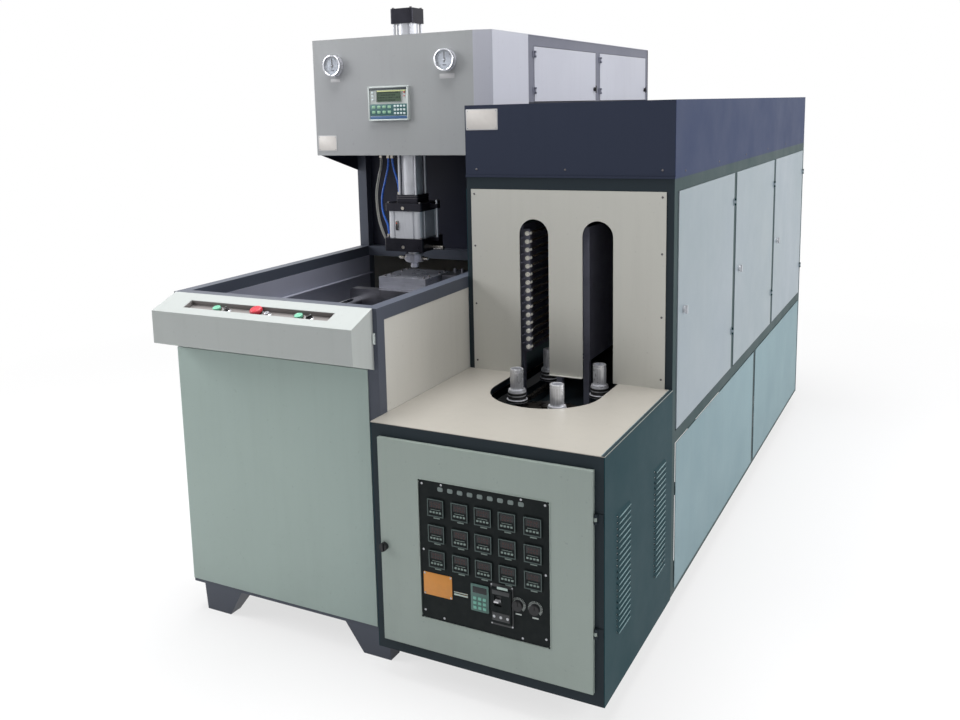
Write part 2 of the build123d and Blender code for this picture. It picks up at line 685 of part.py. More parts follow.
def heater_frame():
    parts = []
    table_rail = table_h - sheet - bar
    for x in (xi0, xi1 - bar):
        parts.append(box(x, x + bar, yb, yb + bar, heater_clear, table_rail))
        for y, w in zip(post_y, post_w):
            parts.append(box(x, x + bar, y, y + w, heater_clear, hood_lip_h - bar))
        parts.append(box(x, x + bar, ys, yfr, hood_lip_h - bar, hood_lip_h))
        parts.append(box(x, x + bar, yb, ys, table_rail, table_h - sheet))
        spans = [(yb + bar, ys)] + [(a + bar, b) for a, b in zip(post_y, post_y[1:])]
        for i, (y0, y1) in enumerate(spans):
            parts.append(box(x, x + bar, y0, y1, heater_clear, heater_clear + bar))
            if i:
                parts.append(box(x, x + bar, y0, y1, mid_rail_h, mid_rail_h + bar))
    for y, w in zip([yb] + post_y, [bar] + post_w):
        parts.append(box(xi0 + bar, xi1 - bar, y, y + w, heater_clear, heater_clear + bar))
    parts.append(box(xi0 + bar, xi1 - bar, yb, yb + bar, table_rail, table_h - sheet))
    for y, w in zip(post_y, post_w):
        parts.append(box(xi0 + bar, xi1 - bar, y, y + w, mid_rail_h, mid_rail_h + bar))
    for y, w in ((post_y[0], bar), (post_y[-1], tail_post)):
        parts.append(box(xi0 + bar, xi1 - bar, y, y + w, hood_lip_h - bar, hood_lip_h))
    for sx in (-1, 1):
        x = xc + sx * bearer_x
        bearer = (sprocket_y[0] - deck_front / 2, yfr - tail_post, mid_rail_h + bar, deck_z)
        parts.append(box(x - bar / 2, x + bar / 2, *bearer))
    return parts


# conveyor of the heater
chain_pitch = 25.4
teeth = 28
links_between = 11
mandrel_count = 14
lane = chain_pitch / 2 / sin(pi / teeth)
chain_links = links_between * mandrel_count
straight_links = (chain_links - teeth) // 2
hole_half = 178.0
sprocket_y = [ys - 172.0, ys - 172.0 + straight_links * chain_pitch]
keep_heater = heater_frame()
pad_r = 32.0
pad_inset = 170.0
for x in (xj + pad_inset, xb1 - pad_inset):
    for y in (yb + pad_inset, ys + 20, yr - pad_inset):
        pad = rod_z(x, y, 0, 14, pad_r)
        pad += rod_z(x, y, 14, heater_clear, 9)
        keep_heater.append(pad)
for y in (yb + pad_inset, yr - pad_inset):
    keep_heater.append(box(xi0 + bar, xi1 - bar, y - bar / 2, y + bar / 2, heater_clear, heater_clear + bar))
shaft_r = 17.5
chain_z = 715.0
wheel_t = 9.0
deck_half = 205.0
deck_y = [sprocket_y[0] - deck_front / 2, yfr - tail_post]
deck = box(xc - deck_half, xc + deck_half, deck_y[0], deck_y[1], deck_z, deck_z + deck_t)
for y in post_y[:-1]:
    deck -= box(xi0, xi0 + bar + reveal, y - reveal, y + bar + reveal, deck_z - 1, deck_z + deck_t + 1)
for y in sprocket_y:
    deck -= rod_z(xc, y, deck_z - 1, deck_z + deck_t + 1, shaft_r + 6)
keep_heater.append(deck)
for sx in (-1, 1):
    x = xc + sx * (lane + 3)
    keep_heater.append(box(x - 4, x + 4, sprocket_y[0] + 12, sprocket_y[1] - 12, deck_z + deck_t, chain_z))
for y in sprocket_y:
    block = box(xc - 45, xc + 45, y - 45, y + 45, deck_z - 30, deck_z)
    keep_heater.append(block - rod_z(xc, y, deck_z - 31, deck_z + 1, shaft_r + shaft_play))
keep("heater_frame", *keep_heater)

# light steel skins of the heater
hole_y = sprocket_y[0]
table = box(xj, xb1, yb - 1, ys - sheet - 1, table_h - sheet, table_h)
table -= rod_z(xc, hole_y, table_h - 9, table_h + 9, hole_half)
table -= box(xc - hole_half, xc + hole_half, hole_y, ys, table_h - 9, table_h + 9)
keep("table_top", table)
slot_w = 103.0
slot_headroom = 96.0
slot_top = oven_wall_h - slot_headroom
slot_lane = 110.0
panel_edge_l = 19.0
panel_edge_r = 26.0
tongue_w = 116.0
front = box(xj + panel_edge_l, xb1 - panel_edge_r, ys - sheet - 1, ys - 1, table_h, oven_wall_h)
for sx in (-1, 1):
    x = xc + sx * slot_lane
    cut = box(x - slot_w / 2, x + slot_w / 2, ys - 9, ys + 9, table_h - 1, slot_top - slot_w / 2)
    cut += rod_y(x, slot_top - slot_w / 2, ys - 9, ys + 9, slot_w / 2)
    front -= cut
front -= box(xc - slot_lane, xc + slot_lane, ys - 9, ys + 9, table_h - 1, table_h + 5)
front += box(xc - tongue_w / 2 + 1, xc + tongue_w / 2 - 1, ys - 12, ys - 1, table_h + 5, table_h + 5 + sheet)
keep("slot_panel", front)
hood = box(xj, xb1, ys, yr, hood_lip_h, hood_top)
hood -= box(xj + sheet, xb1 - sheet, ys + sheet, yr - sheet, hood_lip_h, hood_top - sheet)
lip = 6.0
hood += box(xj, xb1, ys - 4, ys, hood_lip_h, hood_lip_h + lip)
keep("hood", hood)

# oven doors along the right side, hinged at their rear edges, each with a turn lock near the front edge
oven_door_z = [mid_rail_top, oven_wall_h - 1]
lock_rise = 380.0
lock_z = mid_rail_top + lock_rise
pull_in = 68.0
for i, y0 in enumerate(bay_y):
    tray = pan_x(xb1, y0, y0 + bay_w, oven_door_z[0], oven_door_z[1], skin_depth, -1)
    for z in (oven_door_z[0] + 150, oven_door_z[1] - 110):
        door_half, post_half = side_hinge(xb1, xi1, y0 + bay_w, z, -1)
        tray += door_half
        nodes["heater_frame"].append(post_half)
    keep("oven_door_" + str(i + 1), tray)
    lock = rod_x(y0 + pull_in, lock_z, xb1 + free_gap, xb1 + 7, 12)
    lock += box(xb1 + 7, xb1 + side_proud, y0 + pull_in - 3, y0 + pull_in + 3, lock_z - 14, lock_z + 14)
    keep("oven_lock_" + str(i + 1), lock)
panel_z = [lower_rail_top, mid_rail_h - 3]
lower_panel_len = 1317.0
split = ys + lower_panel_len
skins = []
for y0, y1 in ((bay_y[0], split), (split + bay_gap, bay_y[2] + bay_w)):
    skins.append(box(xi1, xb1, y0, y1, panel_z[0], panel_z[1]))
for z0, z1 in (panel_z, (mid_rail_top, oven_wall_h)):
    skins.append(box(xj, xi0, ys, yr - sheet, z0, z1))
skins.append(box(xj, xb1, yr - sheet, yr, heater_clear, hood_lip_h))
cabinet_z = [heater_clear, table_h - sheet]
skins.append(box(xj, xi0, yb, ys, *cabinet_z))
side = box(xi1, xb1, yb, ys, *cabinet_z)
louvre_w = 108.0
louvre_z = [250.0, 604.0]
louvre_count = 20
louvre_y = [yb + 100.0, yb + 455.0]
louvre_step = (louvre_z[1] - louvre_z[0]) / louvre_count
louvre_open = 6.0
louvre_h = 9.0
for y0 in louvre_y:
    for i in range(louvre_count):
        z = louvre_z[0] + i * louvre_step
        side -= box(xi1, xb1, y0, y0 + louvre_w, z, z + louvre_open)
        scoop = [(xb1, z + louvre_h), (xb1, z + louvre_open), (xb1 + 5, z), (xb1 + 6, z)]
        face = make_face(Polyline(*[(px, y0, pz) for px, pz in scoop], close=True))
        side += extrude(face, louvre_w, dir=(0, 1, 0))
skins.append(side)
keep("heater_panels", *skins)

# door of the control cabinet: tray with a window, lapping the front frame and hinged on the right
door_margin = 28.0
door_w = heater_w - 2 * door_margin - reveal
door_x = [xb1 - door_margin - door_w, xb1 - door_margin]
door_z = [124.0, 753.0]
door_t = 14.0
door_face = yb - door_t
window_x = [xb1 - 550.0, xb1 - 149.0]
window_z = [226.0, 648.0]
pin_x = xb1 - 23.0
pin_y = yb - door_t / 2
leaf_z = [298.0, 620.0]
leaf_h = 28.0
tray = box(door_x[0], door_x[1], door_face, yb - 0.5, *door_z)
tray_z = (door_z[0] + sheet, door_z[1] - sheet)
tray -= box(door_x[0] + sheet, door_x[1] - sheet, door_face + sheet, yb, *tray_z)
window = box(*window_x, door_face - 1, yb, *window_z)
tray -= fillet(window.edges().filter_by(Axis.Y), 14)
leaves = []
for z in leaf_z:
    tray += rod_z(pin_x, pin_y, z - 5, z + 5, pin_r)
    tray += box(door_x[1] - 1, pin_x, pin_y - 2, pin_y + 2, z - 5, z + 5)
    leaf = box(pin_x + 2, xb1 - 4, yb - 2, yb, z - leaf_h / 2, z + leaf_h / 2)
    for z0, z1 in ((z - leaf_h / 2, z - 5 - free_gap), (z + 5 + free_gap, z + leaf_h / 2)):
        leaf += rod_z(pin_x, pin_y, z0, z1, pin_r)
        leaf += box(pin_x, pin_x + 5, pin_y, yb, z0, z1)
    leaves.append(leaf)
knob_x = xb1 - 669.0
knob_z = 421.0
tray -= rod_y(knob_x, knob_z, door_face - 1, yb, 6 + free_gap)
keep("cabinet_door", tray)
knob = rod_y(knob_x, knob_z, door_face - 14, door_face - free_gap, 12.5)
knob += rod_y(knob_x, knob_z, door_face - free_gap, yb - 1, 6)
knob += box(knob_x - 3, knob_x + 3, door_face - 18, door_face - 14, knob_z - 12, knob_z + 12)
keep("door_knob", knob)

# instrument panel behind the window: controllers in rows, keypad, breaker and two dials
panel_t = 3.0
panel_lap = 20.0
py1 = door_face + sheet + panel_t
board = box(window_x[0] - panel_lap, window_x[1] + panel_lap, py1 - panel_t, py1,
            window_z[0] - panel_lap, window_z[1] + panel_lap)
pf = py1 - panel_t
controller_x = [-494.0, -418.0, -346.0, -273.0, -197.0]
controller_z = [570.0, 492.0, 415.0]
controller_w = 52.0
controller_proud = 5.0
for x in controller_x:
    for z in controller_z:
        half = controller_w / 2
        unit = box(xb1 + x - half, xb1 + x + half, pf - controller_proud, pf, z - half, z + half)
        screen_y = pf - controller_proud + 1.5
        unit -= box(xb1 + x - half + 5, xb1 + x + half - 5, pf - 6, screen_y, z, z + half - 5)
        board += unit
board += box(xb1 - 387, xb1 - 333, pf - 3, pf, 287, 366)
case = box(xb1 - 323, xb1 - 262, pf - 9, pf, 268, 371)
lever_x = xb1 - 302.0
lever_z = 334.0
case -= box(lever_x - 11, lever_x + 11, pf - 10, pf, lever_z - 16, lever_z + 16)
board += case
dial_x = [xb1 - 243.0, xb1 - 193.0]
dial_z = 333.0
for x in dial_x:
    board -= rod_y(x, dial_z, pf - 1, py1 + 1, 4 + shaft_play)
keep("control_panel", board)
toggle = rod_x(pf - 4.5, lever_z, lever_x - 8, lever_x + 8, 4)
toggle += box(lever_x - 7, lever_x + 7, pf - 20, pf - 4, lever_z, lever_z + 4)
keep("breaker_lever", toggle)
for name, x in zip(("left", "right"), dial_x):
    dial = rod_y(x, dial_z, pf - 12, pf - free_gap, 15)
    dial += rod_y(x, dial_z, pf - free_gap, py1 + 3, 4)
    dial += box(x - 1.5, x + 1.5, pf - 14, pf - 12, dial_z, dial_z + 14)
    keep("dial_" + name, dial)
nodes["heater_frame"] += leaves


# chain loop: joints numbered from the front tangent point of the left lane, rearwards and round
half_wrap = teeth // 2


def chain_joint(j):
    j = j % chain_links
    turn_1 = straight_links
    turn_2 = straight_links + half_wrap
    turn_3 = 2 * straight_links + half_wrap
    if j <= turn_1:
        return xc - lane, sprocket_y[0] + j * chain_pitch
    if j <= turn_2:
        a = pi - (j - turn_1) * pi / half_wrap
        return xc + lane * cos(a), sprocket_y[1] + lane * sin(a)
    if j <= turn_3:
        return xc + lane, sprocket_y[1] - (j - turn_2) * chain_pitch
    a = -(j - turn_3) * pi / half_wrap
    return xc + lane * cos(a), sprocket_y[0] + lane * sin(a)


# each link is a short channel open towards the inside of the loop, where the sprocket teeth enter
link_h = 16.0
link_in = 3.0
link_out = 9.0
link_wall = 2.5
link_len = chain_pitch - 0.8
groove_h = wheel_t + 1.4
chain_mid = chain_z + link_h / 2
plate_in = (link_h - groove_h) / 2
back = link_out - link_wall
profile = [(link_out, -link_h / 2), (link_out, link_h / 2), (-link_in, link_h / 2),
           (-link_in, link_h / 2 - plate_in), (back, link_h / 2 - plate_in),
           (back, plate_in - link_h / 2), (-link_in, plate_in - link_h / 2), (-link_in, -link_h / 2)]
face = make_face(Polyline(*[(-link_len / 2, py, pz) for py, pz in profile], close=True))
link = extrude(face, link_len, dir=(1, 0, 0))
links = []
for j in range(chain_links):
    x0, y0 = chain_joint(j)
    x1, y1 = chain_joint(j + 1)
    heading = degrees(atan2(y1 - y0, x1 - x0))
    links.append(Pos((x0 + x1) / 2, (y0 + y1) / 2, chain_mid) * Rot(0, 0, heading) * link)
stud_r = 8.0
mandrel_z = chain_z + link_h + 10
first_mandrel = 1
stops = [chain_joint(first_mandrel + links_between * k) for k in range(mandrel_count)]
for x, y in stops:
    links.append(rod_z(x, y, chain_z + link_h, mandrel_z + 20, stud_r))
keep("drive_chain", *links)

# mandrels that carry the preforms; the ones in sight turn on their studs
base_r = 34.0
body_r = 29.0
flange_r = 27.0
cup_r = 21.0
cup_bore = 17.0
mandrel = rod_z(0, 0, mandrel_z, mandrel_z + 8, base_r)
mandrel += rod_z(0, 0, mandrel_z + 8, mandrel_z + 34, body_r)
mandrel += rod_z(0, 0, mandrel_z + 34, mandrel_z + 41, flange_r)
mandrel += rod_z(0, 0, mandrel_z + 41, mandrel_z + 108, cup_r)
mandrel -= rod_z(0, 0, mandrel_z + 58, mandrel_z + 109, cup_bore)
mandrel -= rod_z(0, 0, mandrel_z - 1, mandrel_z + 20 + free_gap, stud_r + shaft_play)
in_sight = [0, 1, mandrel_count - 1, mandrel_count - 2]
for number, k in enumerate(in_sight):
    keep("mandrel_" + str(number + 1), Pos(*stops[k], 0) * mandrel)
others = [Pos(*stops[k], 0) * mandrel for k in range(mandrel_count) if k not in in_sight]
keep("oven_mandrels", *others)

# sprockets with their shafts
mid_r = lane * cos(pi / teeth)
root_r = mid_r - link_in - 2 * free_gap
tip_r = mid_r + link_in
outline = []
for k in range(teeth):
    a = (k + 0.5) * 2 * pi / teeth
    for r, half in ((root_r, -5.5), (tip_r, -3.0), (tip_r, 3.0), (root_r, 5.5)):
        outline.append((r * cos(a) - half * sin(a), r * sin(a) + half * cos(a)))
face = make_face(Polyline(*[(px, py, chain_mid - wheel_t / 2) for px, py in outline], close=True))
wheel = extrude(face, wheel_t, dir=(0, 0, 1))
for k in range(6):
    a = k * pi / 3
    wheel -= rod_z(68 * cos(a), 68 * sin(a), chain_z, chain_z + link_h, 16)
wheel += rod_z(0, 0, chain_mid - wheel_t / 2 - 14, chain_mid + wheel_t / 2 + 8, 36)
wheel += rod_z(0, 0, deck_z - 40, chain_mid + wheel_t / 2 + 20, shaft_r)
for name, y in zip(("front", "rear"), sprocket_y):
    keep("sprocket_" + name, Pos(xc, y, 0) * wheel)

# gear motor under the rear sprocket
gear_h = 120.0
gear_w = 140.0
bracket_z = mid_rail_h + bar - 6
gear_y = sprocket_y[1]
gear = box(xc - bearer_x - 20, xc + bearer_x + 20, gear_y - 95, gear_y + 95, bracket_z, mid_rail_h + bar)
gear_case = box(-gear_w / 2, gear_w / 2, -gear_w / 2, gear_w / 2, bracket_z - gear_h, bracket_z)
gear += Pos(xc, gear_y, 0) * gear_case
gear -= rod_z(xc, gear_y, bracket_z - 20, mid_rail_h + bar + 1, shaft_r + 1)
gear += rod_y(xc, bracket_z - gear_h / 2, gear_y - gear_w / 2 - 220, gear_y - gear_w / 2, 55)
gear += rod_y(xc, bracket_z - gear_h / 2, gear_y - gear_w / 2 - 262, gear_y - gear_w / 2 - 220, 60)
keep("gear_motor", gear)

# infrared lamps in two banks with reflectors on both sides of each lane
lamp_rows = 15
lamp_rise = 78.0
lamp_headroom = 124.0
lamp_z = table_h + lamp_rise
lamp_pitch = (oven_wall_h - lamp_headroom - lamp_z) / lamp_rows
lamp_r = 5.0
lamp_x = 159.0
lamp_lead = 60.0
lamp_bank_len = 985.0
lamp_y = [ys + lamp_lead, ys + lamp_lead + lamp_bank_len]
comb_w = 14.0
lamps = []
mirrors = []
mirror_x = 176.0
inner_x = 60.0
mirror_top = lamp_z + lamp_rows * lamp_pitch
deck_top = deck_z + deck_t
for sx in (-1, 1):
    for i in range(lamp_rows):
        z = lamp_z + i * lamp_pitch
        lamps.append(rod_y(xc + sx * lamp_x, z, lamp_y[0] + comb_w, lamp_y[1] - comb_w, lamp_r))
    a, b = sorted((xc + sx * mirror_x, xc + sx * (mirror_x + sheet)))
    mirrors.append(box(a, b, *lamp_y, lamp_z - lamp_pitch, mirror_top))
    a, b = sorted((xc + sx * (mirror_x + sheet), xc + sx * (mirror_x + sheet + 20)))
    for y in (lamp_y[0], (lamp_y[0] + lamp_y[1]) / 2, lamp_y[1] - 20):
        mirrors.append(box(a, b, y, y + 20, deck_top, mirror_top))
    a, b = sorted((xc + sx * (lamp_x - 8), xc + sx * mirror_x))
    for y in (lamp_y[0], lamp_y[1] - comb_w):
        mirrors.append(box(a, b, y, y + comb_w, lamp_z - 14, mirror_top - lamp_pitch + 14))
    a, b = sorted((xc + sx * inner_x, xc + sx * (inner_x - sheet)))
    mirrors.append(box(a, b, *lamp_y, lamp_z - lamp_pitch, mirror_top))
    a, b = sorted((xc + sx * (inner_x - sheet), xc + sx * (inner_x - sheet - 20)))
    for y in (lamp_y[0], lamp_y[1] - 20):
        mirrors.append(box(a, b, y, y + 20, deck_top, mirror_top))
keep("lamp_tubes", *lamps)
keep("lamp_reflectors", *mirrors)

for node_name, solids in nodes.items():
    pieces = [s if isinstance(s, Compound) else Part(s.wrapped) for s in solids]
    shape = solids[0] if len(solids) == 1 else Compound(children=pieces)
    export_step(shape, "parts/" + node_name + ".step")
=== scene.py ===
import bpy
import bmesh
import json
import math
from mathutils import Matrix, Vector


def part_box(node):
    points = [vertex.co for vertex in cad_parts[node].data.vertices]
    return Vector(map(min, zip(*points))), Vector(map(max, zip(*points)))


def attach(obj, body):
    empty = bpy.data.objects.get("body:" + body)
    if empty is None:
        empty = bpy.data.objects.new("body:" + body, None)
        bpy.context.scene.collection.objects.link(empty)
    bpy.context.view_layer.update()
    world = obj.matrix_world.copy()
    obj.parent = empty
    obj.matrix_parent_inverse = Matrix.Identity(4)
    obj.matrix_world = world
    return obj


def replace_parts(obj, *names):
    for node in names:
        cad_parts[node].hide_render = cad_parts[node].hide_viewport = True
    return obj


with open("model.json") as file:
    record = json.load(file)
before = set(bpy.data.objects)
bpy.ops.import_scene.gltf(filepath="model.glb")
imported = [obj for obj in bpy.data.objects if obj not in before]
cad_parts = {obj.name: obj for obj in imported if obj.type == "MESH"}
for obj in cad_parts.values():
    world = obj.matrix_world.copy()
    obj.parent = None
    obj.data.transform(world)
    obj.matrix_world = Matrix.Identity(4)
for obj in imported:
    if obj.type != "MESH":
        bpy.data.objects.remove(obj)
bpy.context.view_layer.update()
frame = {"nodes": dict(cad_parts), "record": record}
nodes = frame["nodes"]
scene = bpy.context.scene
mm = 0.001
print("frame loaded:", len(nodes), "nodes")

# camera fitted to the photograph: place in metres, angles in degrees
cameraFit = {"place": (1.5206, -3.8560, 1.6828), "yaw": 28.7322, "pitch": 9.4755, "roll": -1.5873,
             "sensor": 36, "lens": 36.34, "shiftX": 0.0421, "shiftY": -0.0929}


def addObject(name, data):
    made = bpy.data.objects.new(name, data)
    scene.collection.objects.link(made)
    return made


def addCamera(fit):
    yaw, pitch, roll = (math.radians(fit[k]) for k in ("yaw", "pitch", "roll"))
    forward = Vector((-math.sin(yaw) * math.cos(pitch), math.cos(yaw) * math.cos(pitch), -math.sin(pitch)))
    right = Vector((math.cos(yaw), math.sin(yaw), 0))
    level = right.cross(forward)
    side = math.cos(roll) * right + math.sin(roll) * level
    top = -math.sin(roll) * right + math.cos(roll) * level
    data = bpy.data.cameras.new("photoCamera")
    data.sensor_width = fit["sensor"]
    data.lens = fit["lens"]
    data.shift_x = fit["shiftX"]
    data.shift_y = fit["shiftY"]
    camera = addObject("photoCamera", data)
    turn = Matrix((side, top, -forward)).transposed().to_4x4()
    camera.matrix_world = Matrix.Translation(fit["place"]) @ turn
    scene.camera = camera


addCamera(cameraFit)


def fill(tree, node, inputs):
    # inputs: a socket's name or number with its constant, or with the output that feeds it
    for socket, value in inputs.items():
        if hasattr(value, "links"):
            tree.links.new(value, node.inputs[socket])
        else:
            node.inputs[socket].default_value = value


def addNode(tree, kind, inputs, **settings):
    node = tree.nodes.new("ShaderNode" + kind)
    for key, value in settings.items():
        setattr(node, key, value)
    fill(tree, node, inputs)
    return node


def startMaterial(name):
    material = bpy.data.materials.new(name)
    material.use_nodes = True
    tree = material.node_tree
    return material, tree, tree.nodes["Principled BSDF"]


# studio: pale paper floor and backdrop, soft lamps round the machine; lengths in metres
studio = {"floor": 14.0, "worldTone": (0.93, 0.94, 0.96), "worldStrength": 0.14,
          "paperTone": (0.86, 0.86, 0.87), "paperRough": 0.9, "paperGloss": 0.1,
          # share of plain white in what the camera sees of the floor, near the machine and far from it
          "whiteShare": (0.7, 1.0), "fade": (2.0, 4.5), "aim": (0, 0, 0.9),
          # name, place, width and power of each lamp
          "lamps": [("frontLamp", (1.0, -5.6, 3.4), 3.2, 15), ("rightLamp", (5.4, -1.6, 3.2), 3.6, 60),
                    ("leftLamp", (-4.6, -3.0, 3.4), 3.2, 180), ("topLamp", (-0.2, -0.6, 5.4), 4.0, 330),
                    ("rearLamp", (6.5, 3.0, 4.0), 4.5, 330)]}
white = (1, 1, 1, 1)


def seenOrMirrored(tree):
    # 1 for a ray from the camera, or one that metal or glass sends on
    ray = addNode(tree, "LightPath", {})
    share = ray.outputs["Is Camera Ray"]
    for name in ("Is Glossy Ray", "Is Transmission Ray"):
        share = addNode(tree, "Math", {0: share, 1: ray.outputs[name]}, operation="MAXIMUM").outputs[0]
    return share


def lightWorld(s):
    world = bpy.data.worlds.new("studioWorld")
    scene.world = world
    world.use_nodes = True
    tree = world.node_tree
    tree.nodes.clear()
    soft = addNode(tree, "Background", {"Color": (*s["worldTone"], 1), "Strength": s["worldStrength"]})
    seen = addNode(tree, "Background", {"Color": white, "Strength": 1.0})
    mix = addNode(tree, "MixShader", {0: seenOrMirrored(tree), 1: soft.outputs[0], 2: seen.outputs[0]})
    addNode(tree, "OutputWorld", {"Surface": mix.outputs[0]})


def layPaper(s):
    half = s["floor"]
    mesh = bpy.data.meshes.new("studioFloor")
    mesh.from_pydata([(-half, -half, 0), (half, -half, 0), (half, half, 0), (-half, half, 0)], [], [(0, 1, 2, 3)])
    floor = addObject("studioFloor", mesh)
    paper, tree, bsdf = startMaterial("studioPaper")
    fill(tree, bsdf, {"Base Color": (*s["paperTone"], 1), "Roughness": s["paperRough"],
                      "Specular IOR Level": s["paperGloss"]})
    # the camera sees plain white there, with some of the lit paper for the shadow near the machine
    plain = addNode(tree, "Emission", {"Color": white})
    places = addNode(tree, "TexCoord", {}).outputs["Object"]
    reach = addNode(tree, "VectorMath", {0: places}, operation="LENGTH").outputs["Value"]
    share = spread(tree, reach, *s["fade"], *s["whiteShare"])
    seen = addNode(tree, "Math", {0: seenOrMirrored(tree), 1: share}, operation="MULTIPLY").outputs[0]
    mix = addNode(tree, "MixShader", {0: seen, 1: bsdf.outputs[0], 2: plain.outputs[0]})
    fill(tree, tree.nodes["Material Output"], {"Surface": mix.outputs[0]})
    mesh.materials.append(paper)


def hangLamps(s):
    for name, place, size, power in s["lamps"]:
        data = bpy.data.lights.new(name, "AREA")
        data.shape = "DISK"
        data.size = size
        data.energy = power
        lamp = addObject(name, data)
        lamp.location = place
        lamp.rotation_euler = (Vector(s["aim"]) - Vector(place)).to_track_quat("-Z", "Y").to_euler()


def toLinear(tone):
    # tone is given as it looks on screen, 0 to 255
    return tuple(((c / 255 + 0.055) / 1.055) ** 2.4 if c > 10 else c / 3294.6 for c in tone)


def objectPoints(tree, stretch=(1, 1, 1)):
    coord = addNode(tree, "TexCoord", {})
    return addNode(tree, "Mapping", {"Scale": stretch, "Vector": coord.outputs["Object"]}).outputs["Vector"]


def addNoise(tree, points, scale, detail=4.0, rough=0.55):
    inputs = {"Scale": scale, "Detail": detail, "Roughness": rough, "Vector": points}
    return addNode(tree, "TexNoise", inputs).outputs["Fac"]


def spread(tree, value, low, high, outLow=0.0, outHigh=1.0):
    inputs = {"Value": value, "From Min": low, "From Max": high, "To Min": outLow, "To Max": outHigh}
    return addNode(tree, "MapRange", inputs).outputs["Result"]


def mixTone(tree, share, first, second, blend="MIX"):
    first, second = (tone if hasattr(tone, "links") else (*tone, 1) for tone in (first, second))
    return addNode(tree, "Mix", {0: share, 6: first, 7: second}, data_type="RGBA", blend_type=blend).outputs[2]


def darken(tree, color, factor):
    grey = addNode(tree, "CombineXYZ", {k: factor for k in range(3)}).outputs[0]
    return mixTone(tree, 1.0, color, grey, "MULTIPLY")


def addBumps(tree, bsdf, layers):
    # layers of (height, strength, distance), the coarsest first
    below = {}
    for height, strength, distance in layers:
        bump = addNode(tree, "Bump", {"Strength": strength, "Distance": distance, "Height": height, **below})
        below = {"Normal": bump.outputs["Normal"]}
    fill(tree, bsdf, below)


lightWorld(studio)
layPaper(studio)
hangLamps(studio)
scene.view_settings.view_transform = "Standard"
print("studio ready")

# scales of the noises: repeats per metre
paintDetail = {"drift": 1.1, "streaks": 3.0, "streakStretch": (9, 9, 0.7), "specks": 90, "dust": 5,
               "dustTop": 0.45, "wipes": 4.5, "waves": 2.2, "peel": 420, "splitHalf": 0.0005}


def sheetPaint(name, tone, rough, patch, dust, dustTone, peel, lean, paintedSide=None, gloss=0.28):
    # oven paint on folded sheet: slow drifts of tone, faint streaks and specks, dust near the floor, orange peel, and
    # on some sheets a side painted lighter or darker for how the light falls on it
    d = paintDetail
    material, tree, bsdf = startMaterial(name)
    points = objectPoints(tree)
    streakPoints = objectPoints(tree, d["streakStretch"])
    split = addNode(tree, "SeparateXYZ", {0: points})
    drift = spread(tree, addNoise(tree, points, d["drift"], 3), 0.3, 0.7)

    def driftingTone(screenTone):
        base = toLinear(screenTone)
        return mixTone(tree, drift, base, tuple(b * (1 - patch) + patch * t for b, t in zip(base, toLinear(lean))))

    color = driftingTone(tone)
    if paintedSide:
        # painted light and shade: the same sheet in another tone past a plane across one axis, standing in for how the
        # light falls on that side
        axis, plane, paintedSideTone = paintedSide
        past = spread(tree, split.outputs[axis], plane - d["splitHalf"], plane + d["splitHalf"])
        color = mixTone(tree, past, color, driftingTone(paintedSideTone))
    streak = spread(tree, addNoise(tree, streakPoints, d["streaks"], 5, 0.65), 0.5, 0.85, 1.0, 0.95)
    speck = spread(tree, addNoise(tree, points, d["specks"], 2), 0.68, 0.78, 1.0, 0.88)
    color = darken(tree, darken(tree, color, streak), speck)
    low = spread(tree, split.outputs["Z"], 0.0, d["dustTop"], dust, 0.0)
    cloud = spread(tree, addNoise(tree, points, d["dust"], 5, 0.6), 0.35, 0.75)
    dusty = addNode(tree, "Math", {0: low, 1: cloud}, operation="MULTIPLY").outputs[0]
    wipe = spread(tree, addNoise(tree, points, d["wipes"], 5, 0.6), 0.3, 0.7, rough - 0.04, rough + 0.06)
    fill(tree, bsdf, {"Base Color": mixTone(tree, dusty, color, toLinear(dustTone)), "Roughness": wipe,
                      "Specular IOR Level": gloss})
    waves, grain = addNoise(tree, points, d["waves"], 2), addNoise(tree, points, d["peel"], 2)
    addBumps(tree, bsdf, [(waves, 0.12, 0.004), (grain, peel, 0.0003)])
    return material


# the way in which the lines of the metal run
lineStretch = {"X": (0.03, 1, 1), "Y": (1, 0.03, 1), "Z": (1, 1, 0.03), "round": (1, 1, 1)}


def workedMetal(name, tone, rough, along, brush, stain, stainTone=(70, 62, 52), fine=700, metal=1.0):
    # cut or drawn metal: fine lines along one axis, faint stains, smudged gloss
    material, tree, bsdf = startMaterial(name)
    points = objectPoints(tree)
    lines = addNoise(tree, objectPoints(tree, lineStretch[along]), fine, 3, 0.6)
    base = toLinear(tone)
    dark, bright = tuple(b * 0.86 for b in base), tuple(min(1, b * 1.08) for b in base)
    color = mixTone(tree, spread(tree, lines, 0.3, 0.7), dark, bright)
    spot = spread(tree, addNoise(tree, points, 14, 5, 0.65), 0.56, 0.74, 0.0, stain)
    smudge = spread(tree, addNoise(tree, points, 22, 4), 0.3, 0.7, rough - 0.07, rough + 0.1)
    fill(tree, bsdf, {"Base Color": mixTone(tree, spot, color, toLinear(stainTone)), "Metallic": metal,
                      "Roughness": smudge})
    addBumps(tree, bsdf, [(addNoise(tree, points, 30, 2), 0.08, 0.0006), (lines, brush, 0.0002)])
    return material


